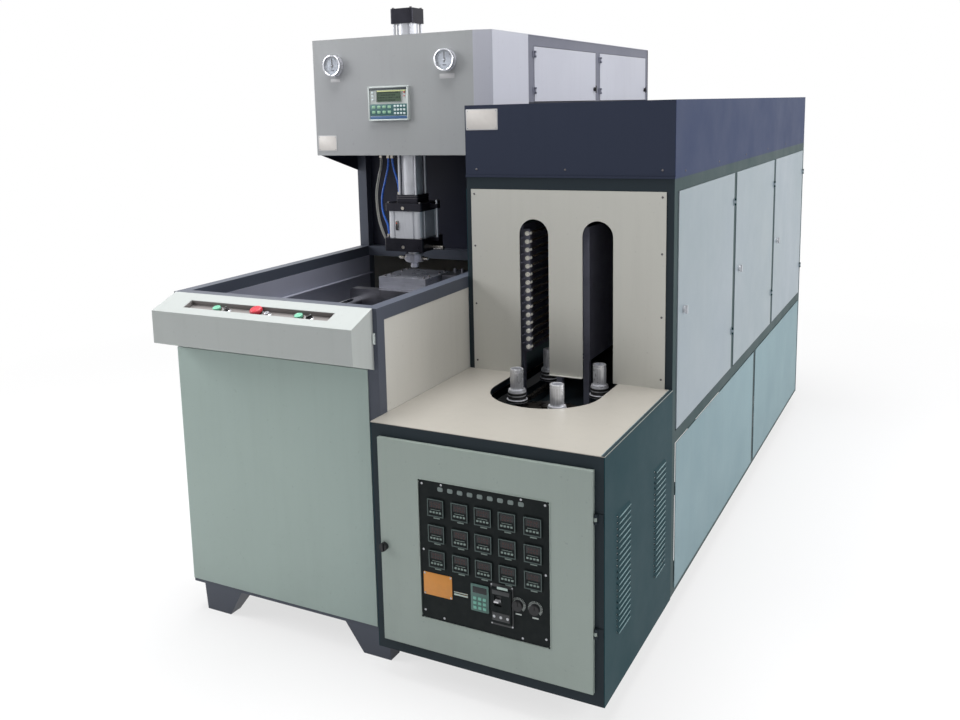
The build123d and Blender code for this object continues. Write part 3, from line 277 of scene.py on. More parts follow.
def mouldedPlastic(name, tone, rough, grain=0.25, wear=0.25, gloss=0.4, paintedGlow=None):
    # fine grain, clouds of wear and finger smudges; paintedGlow is (tone, strength) of a painted glow
    material, tree, bsdf = startMaterial(name)
    points = objectPoints(tree)
    base = toLinear(tone)
    cloud = spread(tree, addNoise(tree, points, 60, 4), 0.35, 0.7, 0.0, wear)
    color = mixTone(tree, cloud, base, tuple(b * 0.75 + 0.02 for b in base))
    smudge = spread(tree, addNoise(tree, points, 120, 3), 0.3, 0.7, rough - 0.08, rough + 0.1)
    fill(tree, bsdf, {"Base Color": color, "Roughness": smudge, "Specular IOR Level": gloss})
    addBumps(tree, bsdf, [(addNoise(tree, points, 1500, 2), grain, 0.0001)])
    if paintedGlow:
        fill(tree, bsdf, {"Emission Color": (*toLinear(paintedGlow[0]), 1), "Emission Strength": paintedGlow[1]})
    return material


def oiledSteel(name, tone, rough, greaseTone, rustTone):
    # chain and sprocket steel with grease and a little rust
    material, tree, bsdf = startMaterial(name)
    points = objectPoints(tree)
    grease = spread(tree, addNoise(tree, points, 45, 5, 0.6), 0.4, 0.65)
    color = mixTone(tree, grease, toLinear(tone), toLinear(greaseTone))
    rust = spread(tree, addNoise(tree, points, 120, 4, 0.7), 0.62, 0.78, 0.0, 0.35)
    fill(tree, bsdf, {"Base Color": mixTone(tree, rust, color, toLinear(rustTone)), "Metallic": 0.85,
                      "Roughness": spread(tree, grease, 0, 1, rough, rough - 0.15)})
    addBumps(tree, bsdf, [(addNoise(tree, points, 260, 4), 0.3, 0.0002)])
    return material


def clearPart(name, tone, rough, seeThrough):
    # glass or clear tube with a faint haze
    material, tree, bsdf = startMaterial(name)
    points = objectPoints(tree)
    base = toLinear(tone)
    haze = spread(tree, addNoise(tree, points, 40, 4), 0.3, 0.7)
    fill(tree, bsdf, {"Base Color": mixTone(tree, haze, base, tuple(b * 0.85 for b in base)),
                      "Roughness": spread(tree, haze, 0, 1, rough, rough + 0.12),
                      "Transmission Weight": seeThrough, "IOR": 1.46})
    addBumps(tree, bsdf, [(addNoise(tree, points, 300, 2), 0.05, 0.0002)])
    return material


# tones as they look on screen; some sheets get a painted light or shade past a fold, a tone that stands in for how the
# light falls on that side, given by the axis across the fold, its place in metres and that painted tone
finishKinds = {
    # tone, roughness, drift share, dust share, dust tone, peel, drift tone, painted light side past a fold, gloss
    sheetPaint: {
        "slatePaint": ((48, 54, 70), 0.5, 0.1, 0.2, (70, 74, 76), 0.2, (54, 56, 76), ("X", 0.7405, (36, 50, 82)), 0.1),
        "blowFramePaint": ((72, 77, 88), 0.42, 0.12, 0.0, (90, 94, 94), 0.2, (70, 72, 90),
                           ("Z", 1.5, (108, 110, 124)), 0.3),
        "slateDeep": ((35, 37, 50), 0.4, 0.1, 0.2, (60, 60, 60), 0.2, (36, 34, 48), None, 0.16),
        "greenSlate": ((42, 50, 56), 0.42, 0.12, 0.2, (50, 60, 60), 0.2, (36, 54, 56), ("X", 0.739, (24, 52, 54)), 0.1),
        "heaterSkin": ((26, 56, 62), 0.5, 0.15, 0.1, (40, 60, 64), 0.2, (26, 46, 60),
                       ("Y", -0.93, (134, 156, 162)), 0.06),
        "basePaint": ((162, 178, 172), 0.42, 0.16, 0.3, (128, 136, 132), 0.2, (140, 156, 158),
                      ("Y", -1.52, (200, 197, 190))),
        "headPaint": ((160, 163, 163), 0.4, 0.22, 0.1, (140, 140, 136), 0.2, (158, 156, 170),
                      ("X", -0.058, (198, 200, 210))),
        "consolePaint": ((175, 180, 178), 0.36, 0.14, 0.1, (160, 160, 156), 0.2, (172, 174, 176)),
        "ovenPaint": ((132, 145, 151), 0.36, 0.16, 0.2, (140, 150, 148), 0.2, (160, 166, 186)),
        "tablePaint": ((160, 156, 148), 0.34, 0.12, 0.0, (150, 148, 140), 0.14, (162, 160, 158)),
        "slotPaint": ((196, 196, 189), 0.36, 0.14, 0.0, (150, 148, 140), 0.14, (188, 184, 184)),
        "doorPaint": ((152, 164, 157), 0.38, 0.14, 0.3, (120, 126, 120), 0.18, (150, 156, 160)),
        "wellSheet": ((156, 158, 172), 0.4, 0.3, 0.0, (80, 80, 84), 0.12, (80, 78, 92)),
        "motorPaint": ((58, 84, 110), 0.45, 0.1, 0.3, (70, 72, 72), 0.5, (50, 66, 84)),
        # channelShadeGrey is darker than the console paint, a painted shade for the channel's recess
        "channelShadeGrey": ((136, 132, 130), 0.45, 0.2, 0.0, (150, 148, 140), 0.2, (120, 116, 122))},
    # tone, roughness, way of the lines, their depth, share and tone of the stains, fineness, metal share
    workedMetal: {
        "brightAlloy": ((205, 206, 210), 0.3, "Z", 0.22, 0.08, (90, 84, 80), 700, 0.6),
        "drawnAlloy": ((190, 192, 198), 0.36, "Z", 0.35, 0.1, (90, 84, 80), 700, 0.45),
        "mouldAlloy": ((176, 178, 188), 0.3, "X", 0.3, 0.2, (80, 76, 80), 420, 0.75),
        "groundSteel": ((118, 118, 124), 0.36, "X", 0.35, 0.3),
        "turnedSteel": ((204, 204, 208), 0.28, "round", 0.12, 0.06, (90, 84, 80), 700, 0.5),
        # litNozzleSteel is turnedSteel painted brighter and glossier: a lit copy standing in for light the nozzle lacks
        # in the shaded bay
        "litNozzleSteel": ((222, 222, 228), 0.2, "round", 0.12, 0.06, (90, 84, 80), 700, 0.55),
        "spunAlloy": ((218, 219, 224), 0.3, "Z", 0.12, 0.03, (120, 118, 116), 500, 0.5),
        "hardChrome": ((205, 206, 210), 0.1, "Z", 0.05, 0.03),
        "mirrorSheet": ((140, 142, 160), 0.35, "Y", 0.1, 0.3, (50, 46, 50), 700, 0.35),
        "blackAnodised": ((44, 44, 50), 0.34, "X", 0.2, 0.1, (80, 80, 84)),
        "platedFitting": ((172, 168, 160), 0.26, "round", 0.1, 0.12),
        "chromeRing": ((212, 214, 220), 0.14, "round", 0.04, 0.04),
        "screwSteel": ((168, 170, 174), 0.3, "round", 0.1, 0.1),
        "boltSteel": ((96, 94, 96), 0.34, "round", 0.1, 0.3),
        "filamentWire": ((150, 120, 96), 0.4, "round", 0.1, 0.2),
        # rubbedTealGlint: pale teal patched with the skin's teal, a painted highlight for the glints on the louvre lips
        "rubbedTealGlint": ((112, 142, 146), 0.3, "Y", 0.2, 1.0, (26, 56, 60), 160, 0.3)},
    # tone, roughness, grain, wear, gloss, painted glow
    mouldedPlastic: {
        "blackPlastic": ((24, 24, 27), 0.42), "casePlastic": ((196, 202, 200), 0.4),
        "greenPlastic": ((116, 188, 158), 0.3, 0.08), "redPlastic": ((200, 52, 66), 0.3, 0.08),
        "blueHose": ((44, 104, 206), 0.25, 0.05), "rubberBlack": ((20, 20, 22), 0.6, 0.4),
        "panelBlack": ((15, 22, 23), 0.45, 0.12, 0.25, 0.12),
        "dialWhite": ((226, 230, 238), 0.5, 0.05, 0.12), "dialInk": ((84, 88, 100), 0.5, 0.05),
        "bezelSilver": ((206, 214, 212), 0.35, 0.2, 0.1), "bezelDark": ((58, 66, 70), 0.38, 0.2),
        "lcdGreen": ((72, 92, 72), 0.2, 0.03, 0.2), "lcdInk": ((40, 52, 44), 0.25, 0.03),
        "keyBase": ((52, 96, 96), 0.45, 0.15), "keyStrip": ((64, 98, 140), 0.45, 0.15),
        "keyGreen": ((146, 190, 160), 0.4, 0.15), "keyWhite": ((214, 226, 228), 0.4, 0.15),
        "limeStrip": ((206, 214, 150), 0.45, 0.1), "lampRed": ((190, 60, 44), 0.25, 0.05),
        "plateOrange": ((206, 138, 62), 0.45, 0.15, 0.3), "plateSilver": ((186, 186, 188), 0.42, 0.1, 0.2),
        "plateBare": ((204, 200, 196), 0.4, 0.1, 0.25), "titleGrey": ((112, 124, 122), 0.5, 0.1, 0.5),
        "cardWhite": ((168, 186, 180), 0.5, 0.1, 0.3), "ringMarks": ((184, 192, 188), 0.45, 0.1, 0.35),
        "unitGrey": ((62, 78, 76), 0.42, 0.2, 0.3), "unitFrame": ((68, 82, 80), 0.42, 0.2, 0.3),
        "unitScreen": ((16, 22, 26), 0.14, 0.02, 0.2), "unitMarks": ((124, 140, 134), 0.4, 0.1, 0.4),
        "unitDigits": ((70, 34, 30), 0.3, 0.02, 0.2), "breakerGrey": ((50, 52, 54), 0.42, 0.25, 0.35),
        "padBase": ((74, 104, 98), 0.42, 0.2, 0.3), "padKeys": ((108, 168, 152), 0.4, 0.15, 0.3),
        # ceramicWhite has a painted glow: the ceramic lamp ends are no lamps, the glow stands in for light falling on
        # them
        "ceramicWhite": ((240, 238, 230), 0.35, 0.2, 0.2, 0.4, ((240, 236, 226), 0.16))},
    # tone, roughness, grease tone, rust tone
    oiledSteel: {"oiledChain": ((70, 66, 62), 0.38, (28, 25, 23), (92, 58, 38))},
    # tone, roughness, transmission
    clearPart: {
        "clearHose": ((206, 206, 200), 0.12, 0.55), "quartz": ((236, 232, 226), 0.05, 0.85),
        "gaugeGlass": ((245, 247, 250), 0.03, 0.97)},
}
finish = {name: kind(name, *values) for kind, table in finishKinds.items() for name, values in table.items()}

# which nodes of the frame wear each finish
coats = {
    "blowFramePaint": "blow_frame", "slatePaint": "hood", "greenSlate": "heater_frame", "heaterSkin": "heater_panels",
    "basePaint": "base_panels", "consolePaint": "console", "headPaint": "head_cover head_door_front head_door_rear",
    "slateDeep": "tower_panels", "ovenPaint": "oven_door_1 oven_door_2 oven_door_3", "tablePaint": "table_top",
    "slotPaint": "slot_panel", "doorPaint": "cabinet_door", "wellSheet": "clamp_well",
    "blackAnodised": "cylinder_caps", "drawnAlloy": "cylinder_tubes", "hardChrome": "stretch_rod tie_bars",
    "litNozzleSteel": "blow_nozzle", "turnedSteel": "gauge_cases breaker_lever",
    "platedFitting": "air_fittings button_collars", "groundSteel": "clamp_plates moving_platen",
    "motorPaint": "clamp_cylinder gear_motor", "mouldAlloy": "mould_half_front mould_half_rear",
    "casePlastic": "operator_panel", "greenPlastic": "start_button_left start_button_right",
    "redPlastic": "stop_button", "panelBlack": "control_panel", "brightAlloy": "oven_lock_1 oven_lock_2 oven_lock_3",
    "blackPlastic": "gauge_needle_left gauge_needle_right dial_left dial_right head_latch_front head_latch_rear "
                    "door_knob",
    "oiledChain": "drive_chain sprocket_front sprocket_rear", "quartz": "lamp_tubes", "mirrorSheet": "lamp_reflectors",
    "spunAlloy": "mandrel_1 mandrel_2 mandrel_3 mandrel_4 oven_mandrels",
}
for finishName, nodeNames in coats.items():
    for nodeName in nodeNames.split():
        nodes[nodeName].data.materials.clear()
        nodes[nodeName].data.materials.append(finish[finishName])
print("finishes set")

up, ahead, back = (0, 0, 1), (0, -1, 0), (0, 1, 0)


def addBlock(bm, x, y, z, slot=0, edge=0.0, segments=2, spin=None):
    # x, y and z are (low, high) in millimetres; spin is (angle in degrees, axis, centre)
    made = bmesh.ops.create_cube(bm, size=1)["verts"]
    bmesh.ops.scale(bm, verts=made, vec=[(b - a) * mm for a, b in (x, y, z)])
    bmesh.ops.translate(bm, verts=made, vec=[(a + b) * mm / 2 for a, b in (x, y, z)])
    if spin:
        matrix = Matrix.Rotation(math.radians(spin[0]), 3, Vector(spin[1]))
        bmesh.ops.rotate(bm, verts=made, cent=Vector(spin[2]) * mm, matrix=matrix)
    for face in {f for v in made for f in v.link_faces}:
        face.material_index = slot
    if edge:
        edges = list({e for v in made for e in v.link_edges})
        bmesh.ops.bevel(bm, geom=edges, offset=edge * mm, segments=segments, profile=0.5, affect="EDGES")


def addLathe(bm, centre, axis, profile, slot=0, segments=40, closed=False):
    # profile: (radius, height) pairs along the axis from the centre, in millimetres
    turn = Vector(up).rotation_difference(Vector(axis)).to_matrix()
    place = Vector(centre)
    rings = []
    for radius, height in profile:
        ring = []
        for i in range(segments if radius > 0 else 1):
            angle = 2 * math.pi * i / segments
            point = Vector((radius * math.cos(angle), radius * math.sin(angle), height))
            ring.append(bm.verts.new((turn @ point + place) * mm))
        rings.append(ring)
    pairs = list(zip(rings, rings[1:])) + ([(rings[-1], rings[0])] if closed else [])
    for low, high in pairs:
        for i in range(segments):
            j = (i + 1) % segments
            corners = [low[i % len(low)], low[j % len(low)], high[j % len(high)], high[i % len(high)]]
            corners = list(dict.fromkeys(corners))
            if len(corners) > 2:
                bm.faces.new(corners).material_index = slot
    if not closed:
        for ring in (rings[0], rings[-1]):
            if len(ring) > 1:
                bm.faces.new(ring).material_index = slot


def addHoop(bm, centre, inner, outer, low, high, axis=up, segments=40, chamfer=0.0):
    # a flat ring or band, its outer edges taken back by the chamfer
    band = [(inner, low), (outer, low + chamfer), (outer, high - chamfer), (inner, high)]
    addLathe(bm, centre, axis, band, 0, segments, True)


def addOutline(bm, points, axis, low, high, slot=0, edge=0.0):
    # a plate with its outline given in the two other axes, in millimetres
    order = {"y": (0, 2, 1), "z": (0, 1, 2)}[axis]
    sides = []
    for depth in (low, high):
        triples = [(a, b, depth) for a, b in points]
        sides.append([bm.verts.new(Vector([t[k] for k in order]) * mm) for t in triples])
    count = len(points)
    made = [bm.faces.new(sides[0]), bm.faces.new(list(reversed(sides[1])))]
    for i in range(count):
        j = (i + 1) % count
        made.append(bm.faces.new([sides[0][i], sides[0][j], sides[1][j], sides[1][i]]))
    for face in made:
        face.material_index = slot
    if edge:
        rim = list({e for f in made[:2] for e in f.edges})
        bmesh.ops.bevel(bm, geom=rim, offset=edge * mm, segments=2, profile=0.5, affect="EDGES")


def roundedBox(x, z, corner, steps=5):
    # outline of a rectangle with round corners, x and z as (low, high)
    points = []
    for cx, cz, start in ((x[1] - corner, z[1] - corner, 0), (x[0] + corner, z[1] - corner, 90),
                          (x[0] + corner, z[0] + corner, 180), (x[1] - corner, z[0] + corner, 270)):
        for i in range(steps + 1):
            angle = math.radians(start + 90 * i / steps)
            points.append((cx + corner * math.cos(angle), cz + corner * math.sin(angle)))
    return points


def around(middle, half):
    return middle - half, middle + half


def addPlate(bm, x, z, corner, y, slot, edge, steps=5):
    # an upright plate with round corners, seen from the front
    addOutline(bm, roundedBox(x, z, corner, steps), "y", *y, slot, edge)


def addFrame(bm, x, z, bar, y, slot, edge, inset):
    # four bars inside the limits x and z, the level ones held back by the inset
    for side in ((x[0], x[0] + bar), (x[1] - bar, x[1])):
        addBlock(bm, side, y, z, slot, edge)
    for level in ((z[0], z[0] + bar), (z[1] - bar, z[1])):
        addBlock(bm, (x[0] + inset, x[1] - inset), y, level, slot, edge)


def toMesh(name, bm):
    # smooth shading, with edges past 32 degrees kept sharp
    bmesh.ops.recalc_face_normals(bm, faces=bm.faces)
    mesh = bpy.data.meshes.new(name)
    bm.to_mesh(mesh)
    bm.free()
    for polygon in mesh.polygons:
        polygon.use_smooth = True
    mesh.set_sharp_from_angle(angle=math.radians(32))
    return mesh


def setPiece(name, mesh, finishNames, body):
    for finishName in finishNames:
        mesh.materials.append(finish[finishName])
    piece = addObject(name, mesh)
    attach(piece, body)
    return piece


def makePiece(name, bm, finishNames, body="machine"):
    return setPiece(name, toMesh(name, bm), finishNames, body)


def planeOf(node, side, axis):
    # one face of a node's box in millimetres; side 0 is low, 1 is high
    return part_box(node)[side]["xyz".index(axis)] / mm


def boxOf(node):
    # both corners of a node's box in millimetres
    return [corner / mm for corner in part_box(node)]


jointOf = {j["name"]: j for j in frame["record"]["behaviour"]["joints"]}

# pressure gauges: millimetres from the dial's middle and the face of the case, degrees from upright
gauge = {
    "rim": 39, "sweep": 135, "dial": [(34.6, 0), (34.6, 0.6), (0, 0.6)], "dialGap": 1.4,
    "ticks": 50, "tickOuter": 31, "longTick": (24.5, 0.55), "shortTick": (28, 0.28),
    "arcStep": 3, "arcHalf": 0.85, "arcWide": 0.7, "stripHalf": 8, "stripTall": (-20, -16),
    "bezel": [(34.2, 4), (34.2, -0.4), (35.6, -2.0), (37.6, -2.6), (39.6, -1.8), (40.6, 0), (40.6, 4), (40.0, 5)],
    "bands": ((8, 0.5), (15, 0.5), (21, 1.4)), "bandWide": 1.6,
    "glassBack": 1.6, "glass": [(0, -0.6), (34.2, -0.6), (34.2, 0.2), (24, 1.1), (12, 1.6), (0, 1.75)],
    "cap": [(3.4, -0.1), (3.4, 0.9), (2.6, 1.4), (0, 1.5)]}
gaugeMiddle = {side: [jointOf["gauge_" + side + "_needle"]["pos_m"][k] / mm for k in (0, 2)]
               for side in ("left", "right")}


def buildGauge(g, side):
    x, z = gaugeMiddle[side]
    face = planeOf("gauge_cases", 0, "y")
    needleFront, needleBack = (planeOf("gauge_needle_left", k, "y") for k in (0, 1))
    dialPlane = needleBack + g["dialGap"]
    bm = bmesh.new()
    addLathe(bm, (x, dialPlane, z), ahead, g["dial"], 0, 64)
    for i in range(g["ticks"] + 1):
        angle = g["sweep"] * (2 * i / g["ticks"] - 1)
        inner, half = g["longTick"] if i % 5 == 0 else g["shortTick"]
        addBlock(bm, around(x, half), (dialPlane - 1.0, dialPlane - 0.6), (z + inner, z + g["tickOuter"]), 1,
                 spin=(angle, back, (x, 0, z)))
    arc = (z + g["tickOuter"], z + g["tickOuter"] + g["arcWide"])
    for angle in range(-g["sweep"], g["sweep"] + 1, g["arcStep"]):
        addBlock(bm, around(x, g["arcHalf"]), (dialPlane - 0.95, dialPlane - 0.6), arc, 1,
                 spin=(angle, back, (x, 0, z)))
    strip = [z + a for a in g["stripTall"]]
    addBlock(bm, around(x, g["stripHalf"]), (dialPlane - 0.9, dialPlane - 0.6), strip, 1, 0.2)
    makePiece("gauge_dial_" + side, bm, ["dialWhite", "dialInk"])
    bm = bmesh.new()
    addLathe(bm, (x, face, z), back, g["bezel"], 0, 72, True)
    for height, grow in g["bands"]:
        addHoop(bm, (x, face, z), g["rim"] - 1, g["rim"] + grow, height, height + g["bandWide"], back, 72)
    makePiece("gauge_bezel_" + side, bm, ["chromeRing"])
    bm = bmesh.new()
    addLathe(bm, (x, face + g["glassBack"], z), ahead, g["glass"], 0, 56)
    makePiece("gauge_glass_" + side, bm, ["gaugeGlass"])
    bm = bmesh.new()
    addLathe(bm, (x, needleFront, z), ahead, g["cap"], 0, 28)
    makePiece("gauge_cap_" + side, bm, ["chromeRing"], "gauge_needle_" + side)


for side in gaugeMiddle:
    buildGauge(gauge, side)

# operator panel: places from its lower left corner, depths from its face
operatorPanel = {
    "rim": 5.5, "rimDepth": (-2.2, 1), "darkStrip": 9, "limeStrip": (15, 10), "limeStart": 40,
    "screenSide": (-50, 57), "screenTall": (70, 113), "lip": 1.6,
    "textRows": 4, "textTop": 8, "rowStep": 9.4, "letters": 14, "letterStart": 6, "letterStep": 7,
    "keyField": (13, 62), "blueStrip": 12,
    # columns and rows, first corner, steps, size, corner, finish slot, front and back off the face, edge
    "keys": [((4, 2), (17, 27), (23, 19), (14, 10), 2.5, 6, (-2.0, -0.6), 0.4),
             ((4, 3), (113, 23), (13.5, 13.5), (9, 7.5), 2, 8, (-2.0, -0.6), 0.4),
             ((1, 3), (15, 76), (0, 13), (10, 7), 2, 8, (-1.6, -0.3), 0.3)],
    # each lamp's distance below the top and its profile
    "lampSide": 17,
    "lamps": [(24, [(3.2, -0.2), (3.2, 0.8), (2.4, 1.9), (0, 2.3)]),
              (38, [(2.6, -0.2), (2.6, 0.8), (1.8, 1.6), (0, 1.9)])]}


def buildOperatorPanel(p):
    low, high = boxOf("operator_panel")
    face, rim, lip = low[1], p["rim"], p["lip"]
    middle = (low[0] + high[0]) / 2
    bm = bmesh.new()
    rimDepth, lipDepth = [(face + a, face + b) for a, b in (p["rimDepth"], (-1.2, 0.8))]
    addFrame(bm, (low[0], high[0]), (low[2], high[2]), rim, rimDepth, 0, 1.0, 1)
    # dark strip along the top and lime strip under it
    addBlock(bm, (low[0] + rim, high[0] - rim), (face - 0.9, face + 0.5),
             (high[2] - rim - p["darkStrip"], high[2] - rim), 1, 0.3)
    addBlock(bm, (low[0] + p["limeStart"], high[0] - rim - 4), (face - 0.7, face + 0.5),
             [high[2] - rim - drop for drop in p["limeStrip"]], 7, 0.2)
    # dark green screen in its window, with a lip round it and dim rows of unreadable marks
    screenX = [middle + a for a in p["screenSide"]]
    screenZ = [low[2] + a for a in p["screenTall"]]
    addBlock(bm, screenX, (face + 1.2, face + 2.2), screenZ, 2)
    for z in (screenZ[0] - lip, screenZ[1]):
        addBlock(bm, (screenX[0] - lip, screenX[1] + lip), lipDepth, (z, z + lip), 1, 0.4)
    for x in (screenX[0] - lip, screenX[1]):
        addBlock(bm, (x, x + lip), lipDepth, screenZ, 1, 0.4)
    for row in range(p["textRows"]):
        z = screenZ[1] - p["textTop"] - row * p["rowStep"]
        for k in range(p["letters"] - 3 * (row % 2)):
            x = screenX[0] + p["letterStart"] + k * p["letterStep"]
            addBlock(bm, (x, x + 4.6), (face + 1.0, face + 1.3), (z - 3, z + 2), 3)
    # key field and blue strip below
    fieldLow, fieldHigh = p["keyField"]
    for bottom, top, slot in ((rim + fieldLow, fieldHigh, 4), (rim, rim + p["blueStrip"], 5)):
        addBlock(bm, (low[0] + rim + 1, high[0] - rim - 1), (face - 0.8, face + 0.5),
                 (low[2] + bottom, low[2] + top), slot, 0.3)
    for (columns, rows), first, step, size, corner, slot, depth, edge in p["keys"]:
        for row in range(rows):
            for k in range(columns):
                x, z = low[0] + first[0] + k * step[0], low[2] + first[1] + row * step[1]
                y = (face + depth[0], face + depth[1])
                addPlate(bm, (x, x + size[0]), (z, z + size[1]), corner, y, slot, edge)
    makePiece("operator_panel_face", bm, ["bezelSilver", "bezelDark", "lcdGreen", "lcdInk", "keyBase", "keyStrip",
                                          "keyGreen", "limeStrip", "keyWhite"])
    bm = bmesh.new()
    for drop, profile in p["lamps"]:
        addLathe(bm, (high[0] - p["lampSide"], face, high[2] - drop), ahead, profile, 0, 24)
    makePiece("operator_panel_lamps", bm, ["lampRed"])


buildOperatorPanel(operatorPanel)

# unprinted plates under the gauges: distance below the gauge's middle, width, height
captions = {"left": (62, 44, 12), "right": (66, 62, 18), "corner": 2}


def buildCaptionPlates(c):
    bm = bmesh.new()
    face = planeOf("head_cover", 0, "y")
    for side in ("left", "right"):
        (x, middle), (drop, wide, tall) = gaugeMiddle[side], c[side]
        z = (middle - drop, middle - drop + tall)
        addPlate(bm, around(x, wide / 2), z, c["corner"], (face - 0.5, face + 0.2), 0, 0.15)
    makePiece("caption_plates", bm, ["plateSilver"])


buildCaptionPlates(captions)
print("instruments on the head set")

# the instrument board: columns count from the heater's right edge, heights from the floor
board = {
    "case": 9,  # the breaker case is the board's most forward form, that far before its face
    "unitProud": 5, "unitRows": (570, 492, 415), "unitColumns": (494, 418, 346, 273, 197), "unitHalf": 26,
    "lip": 3, "screen": (20.6, 0.4, 20.6),
    # digits: middle above the unit's middle, and height
    "digits": ((13.2, 5.6), (4.2, 4.4)), "digitStart": -12, "digitStep": 8, "stroke": 0.35,
    "keys": 4, "keyStart": -15, "keyStep": 10, "keyHalf": 3.6, "keyTall": (-15.5, -9.5),
    "barHalf": 15, "barTall": (-5.6, -4.4), "nameSide": (-9, 11), "nameDrop": (7.5, 4),
    "pad": (387, 333), "padTall": (286, 367), "padScreen": (341, 360), "padProud": 3,
    "padRows": 3, "padFirst": (12, 297), "padStep": (15, 14), "padKey": (5.4, 4.6),
    "breaker": (323, 262), "breakerTall": (258, 381), "covers": ((276, 300), (354, 366)), "terminals": 288,
    "dials": (243, 193), "dialZ": 333, "sweep": 135,
    # scale marks: how many, half width, inner and outer radius, height off the board
    "marks": ((22, 0.9, 17.5, 21.5, 0.5), (54, 0.75, 14.6, 16.6, 0.45)), "dialStrip": (9, 303, 307),
    "plate": ((200.5, 292.5), (300, 369)), "plateScrew": 4,
    "card": (298.5, 342.5), "cardLines": ((317, 322), (325, 328)),
    "tiles": 9, "tileStart": 262, "tileStep": 31, "tileHalf": 8.5, "tileTall": (620, 633),
    "screws": ((203, 636), (580, 636), (203, 437), (580, 437), (203, 250), (580, 250), (265, 236), (510, 236),
               (265, 640), (510, 640)),
    "terminalHead": [(4.2, -0.3), (4.2, 0.9), (3.4, 1.4), (0, 1.4)],
    "surroundHead": [(2.6, -0.3), (2.6, 0.9), (1.6, 1.5), (0, 1.5)],
    "plateHead": [(3, -0.3), (3, 0.8), (2, 1.5), (0, 1.5)],
    "boardHead": [(3.4, -0.2), (3.4, 0.9), (2.2, 1.7), (0, 1.8)]}
heaterEdge = planeOf("table_top", 1, "x")
boardFace = planeOf("control_panel", 0, "y") + board["case"]


def boardPiece(name, bm, finishNames):
    makePiece(name, bm, finishNames, "cabinet_door")


def addController(bm, b, x, z):
    # frame lip, screen, digits, keys and a bar over them, and the bare name strip below
    face, half, s = boardFace - b["unitProud"], b["unitHalf"], b["stroke"]
    digitDepth = (face + 0.6, face + 0.95)
    addFrame(bm, around(x, half), around(z, half), b["lip"], (face - 1.1, face + 0.5), 1, 0.5, 2)
    halfScreen, screenLow, screenHigh = b["screen"]
    addBlock(bm, around(x, halfScreen), (face + 0.9, face + 1.4), (z + screenLow, z + screenHigh), 2)
    for rise, size in b["digits"]:
        line = z + rise
        for k in range(4):
            cx = x + b["digitStart"] + k * b["digitStep"]
            for middle in (line - size / 2, line, line + size / 2):
                addBlock(bm, around(cx, size * 0.28), digitDepth, around(middle, s), 4)
            for side in (-0.34, 0.34):
                addBlock(bm, around(cx + side * size, s), digitDepth, around(line, size * 0.5), 4)
    for k in range(b["keys"]):
        cx = x + b["keyStart"] + k * b["keyStep"]
        tall = [z + a for a in b["keyTall"]]
        addPlate(bm, around(cx, b["keyHalf"]), tall, 1.4, (face - 1.2, face + 0.2), 3, 0.4, 3)
    addBlock(bm, around(x, b["barHalf"]), (face - 0.3, face + 0.2), [z + a for a in b["barTall"]], 3)
    addBlock(bm, [x + a for a in b["nameSide"]], (boardFace - 0.6, boardFace + 0.2),
             [z - half - a for a in b["nameDrop"]], 3, 0.1)


def buildControllers(b):
    bm = bmesh.new()
    for z in b["unitRows"]:
        for column in b["unitColumns"]:
            addController(bm, b, heaterEdge - column, z)
    boardPiece("controller_details", bm, ["unitGrey", "unitFrame", "unitScreen", "unitMarks", "unitDigits"])


def buildKeypad(b):
    low, high = (heaterEdge - a for a in b["pad"])
    face = boardFace - b["padProud"]
    bm = bmesh.new()
    addPlate(bm, (low - 1, high + 1), b["padTall"], 3, (face - 0.8, face + 0.6), 0, 0.3)
    addBlock(bm, (low + 5, high - 5), (face - 1.2, face - 0.6), b["padScreen"], 2, 0.2)
    (firstX, firstZ), (stepX, stepZ), (halfX, halfZ) = b["padFirst"], b["padStep"], b["padKey"]
    for row in range(b["padRows"]):
        for k in range(b["padRows"]):
            x, z = low + firstX + k * stepX, firstZ + row * stepZ
            addPlate(bm, around(x, halfX), around(z, halfZ), 1.6, (face - 2.2, face - 0.6), 1, 0.4, 3)
    boardPiece("keypad_details", bm, ["padBase", "padKeys", "unitScreen"])


def buildBreaker(b):
    # surround with terminal covers, a bare card, terminals and screws
    low, high = (heaterEdge - a for a in b["breaker"])
    face = boardFace - b["case"]
    bottom, top = b["breakerTall"]
    bm = bmesh.new()
    addPlate(bm, (low - 4, high + 4), (bottom, top), 4, (boardFace - 1.2, boardFace + 0.4), 0, 0.4)
    for z in b["covers"]:
        addBlock(bm, (low + 4, high - 4), (face - 1.6, face + 0.4), z, 0, 0.8)
    addBlock(bm, (low + 20, high - 8), (face - 1.9, face - 1.2), (top - 10, top - 2), 1, 0.3)
    for x in (low + 10, (low + high) / 2, high - 10):
        addLathe(bm, (x, face - 1.4, b["terminals"]), ahead, b["terminalHead"], 2, 18)
    for z in (bottom + 4, top - 4):
        for x in (low - 1, high + 1):
            addLathe(bm, (x, boardFace - 1.1, z), ahead, b["surroundHead"], 2, 16)
    boardPiece("breaker_details", bm, ["breakerGrey", "cardWhite", "screwSteel"])


def buildDialScales(b):
    # pale scale rings round the dials, open at the bottom, and a bare strip under each
    z = b["dialZ"]
    half, stripLow, stripHigh = b["dialStrip"]
    bm = bmesh.new()
    for x in (heaterEdge - a for a in b["dials"]):
        for count, halfMark, inner, outer, proud in b["marks"]:
            for k in range(count):
                angle = b["sweep"] * (2 * k / (count - 1) - 1)
                addBlock(bm, around(x, halfMark), (boardFace - proud, boardFace + 0.1), (z + inner, z + outer),
                         spin=(angle, back, (x, 0, z)))
        addBlock(bm, around(x, half), (boardFace - 0.5, boardFace + 0.1), (stripLow, stripHigh), 0, 0.1)
    boardPiece("dial_scales", bm, ["ringMarks"])


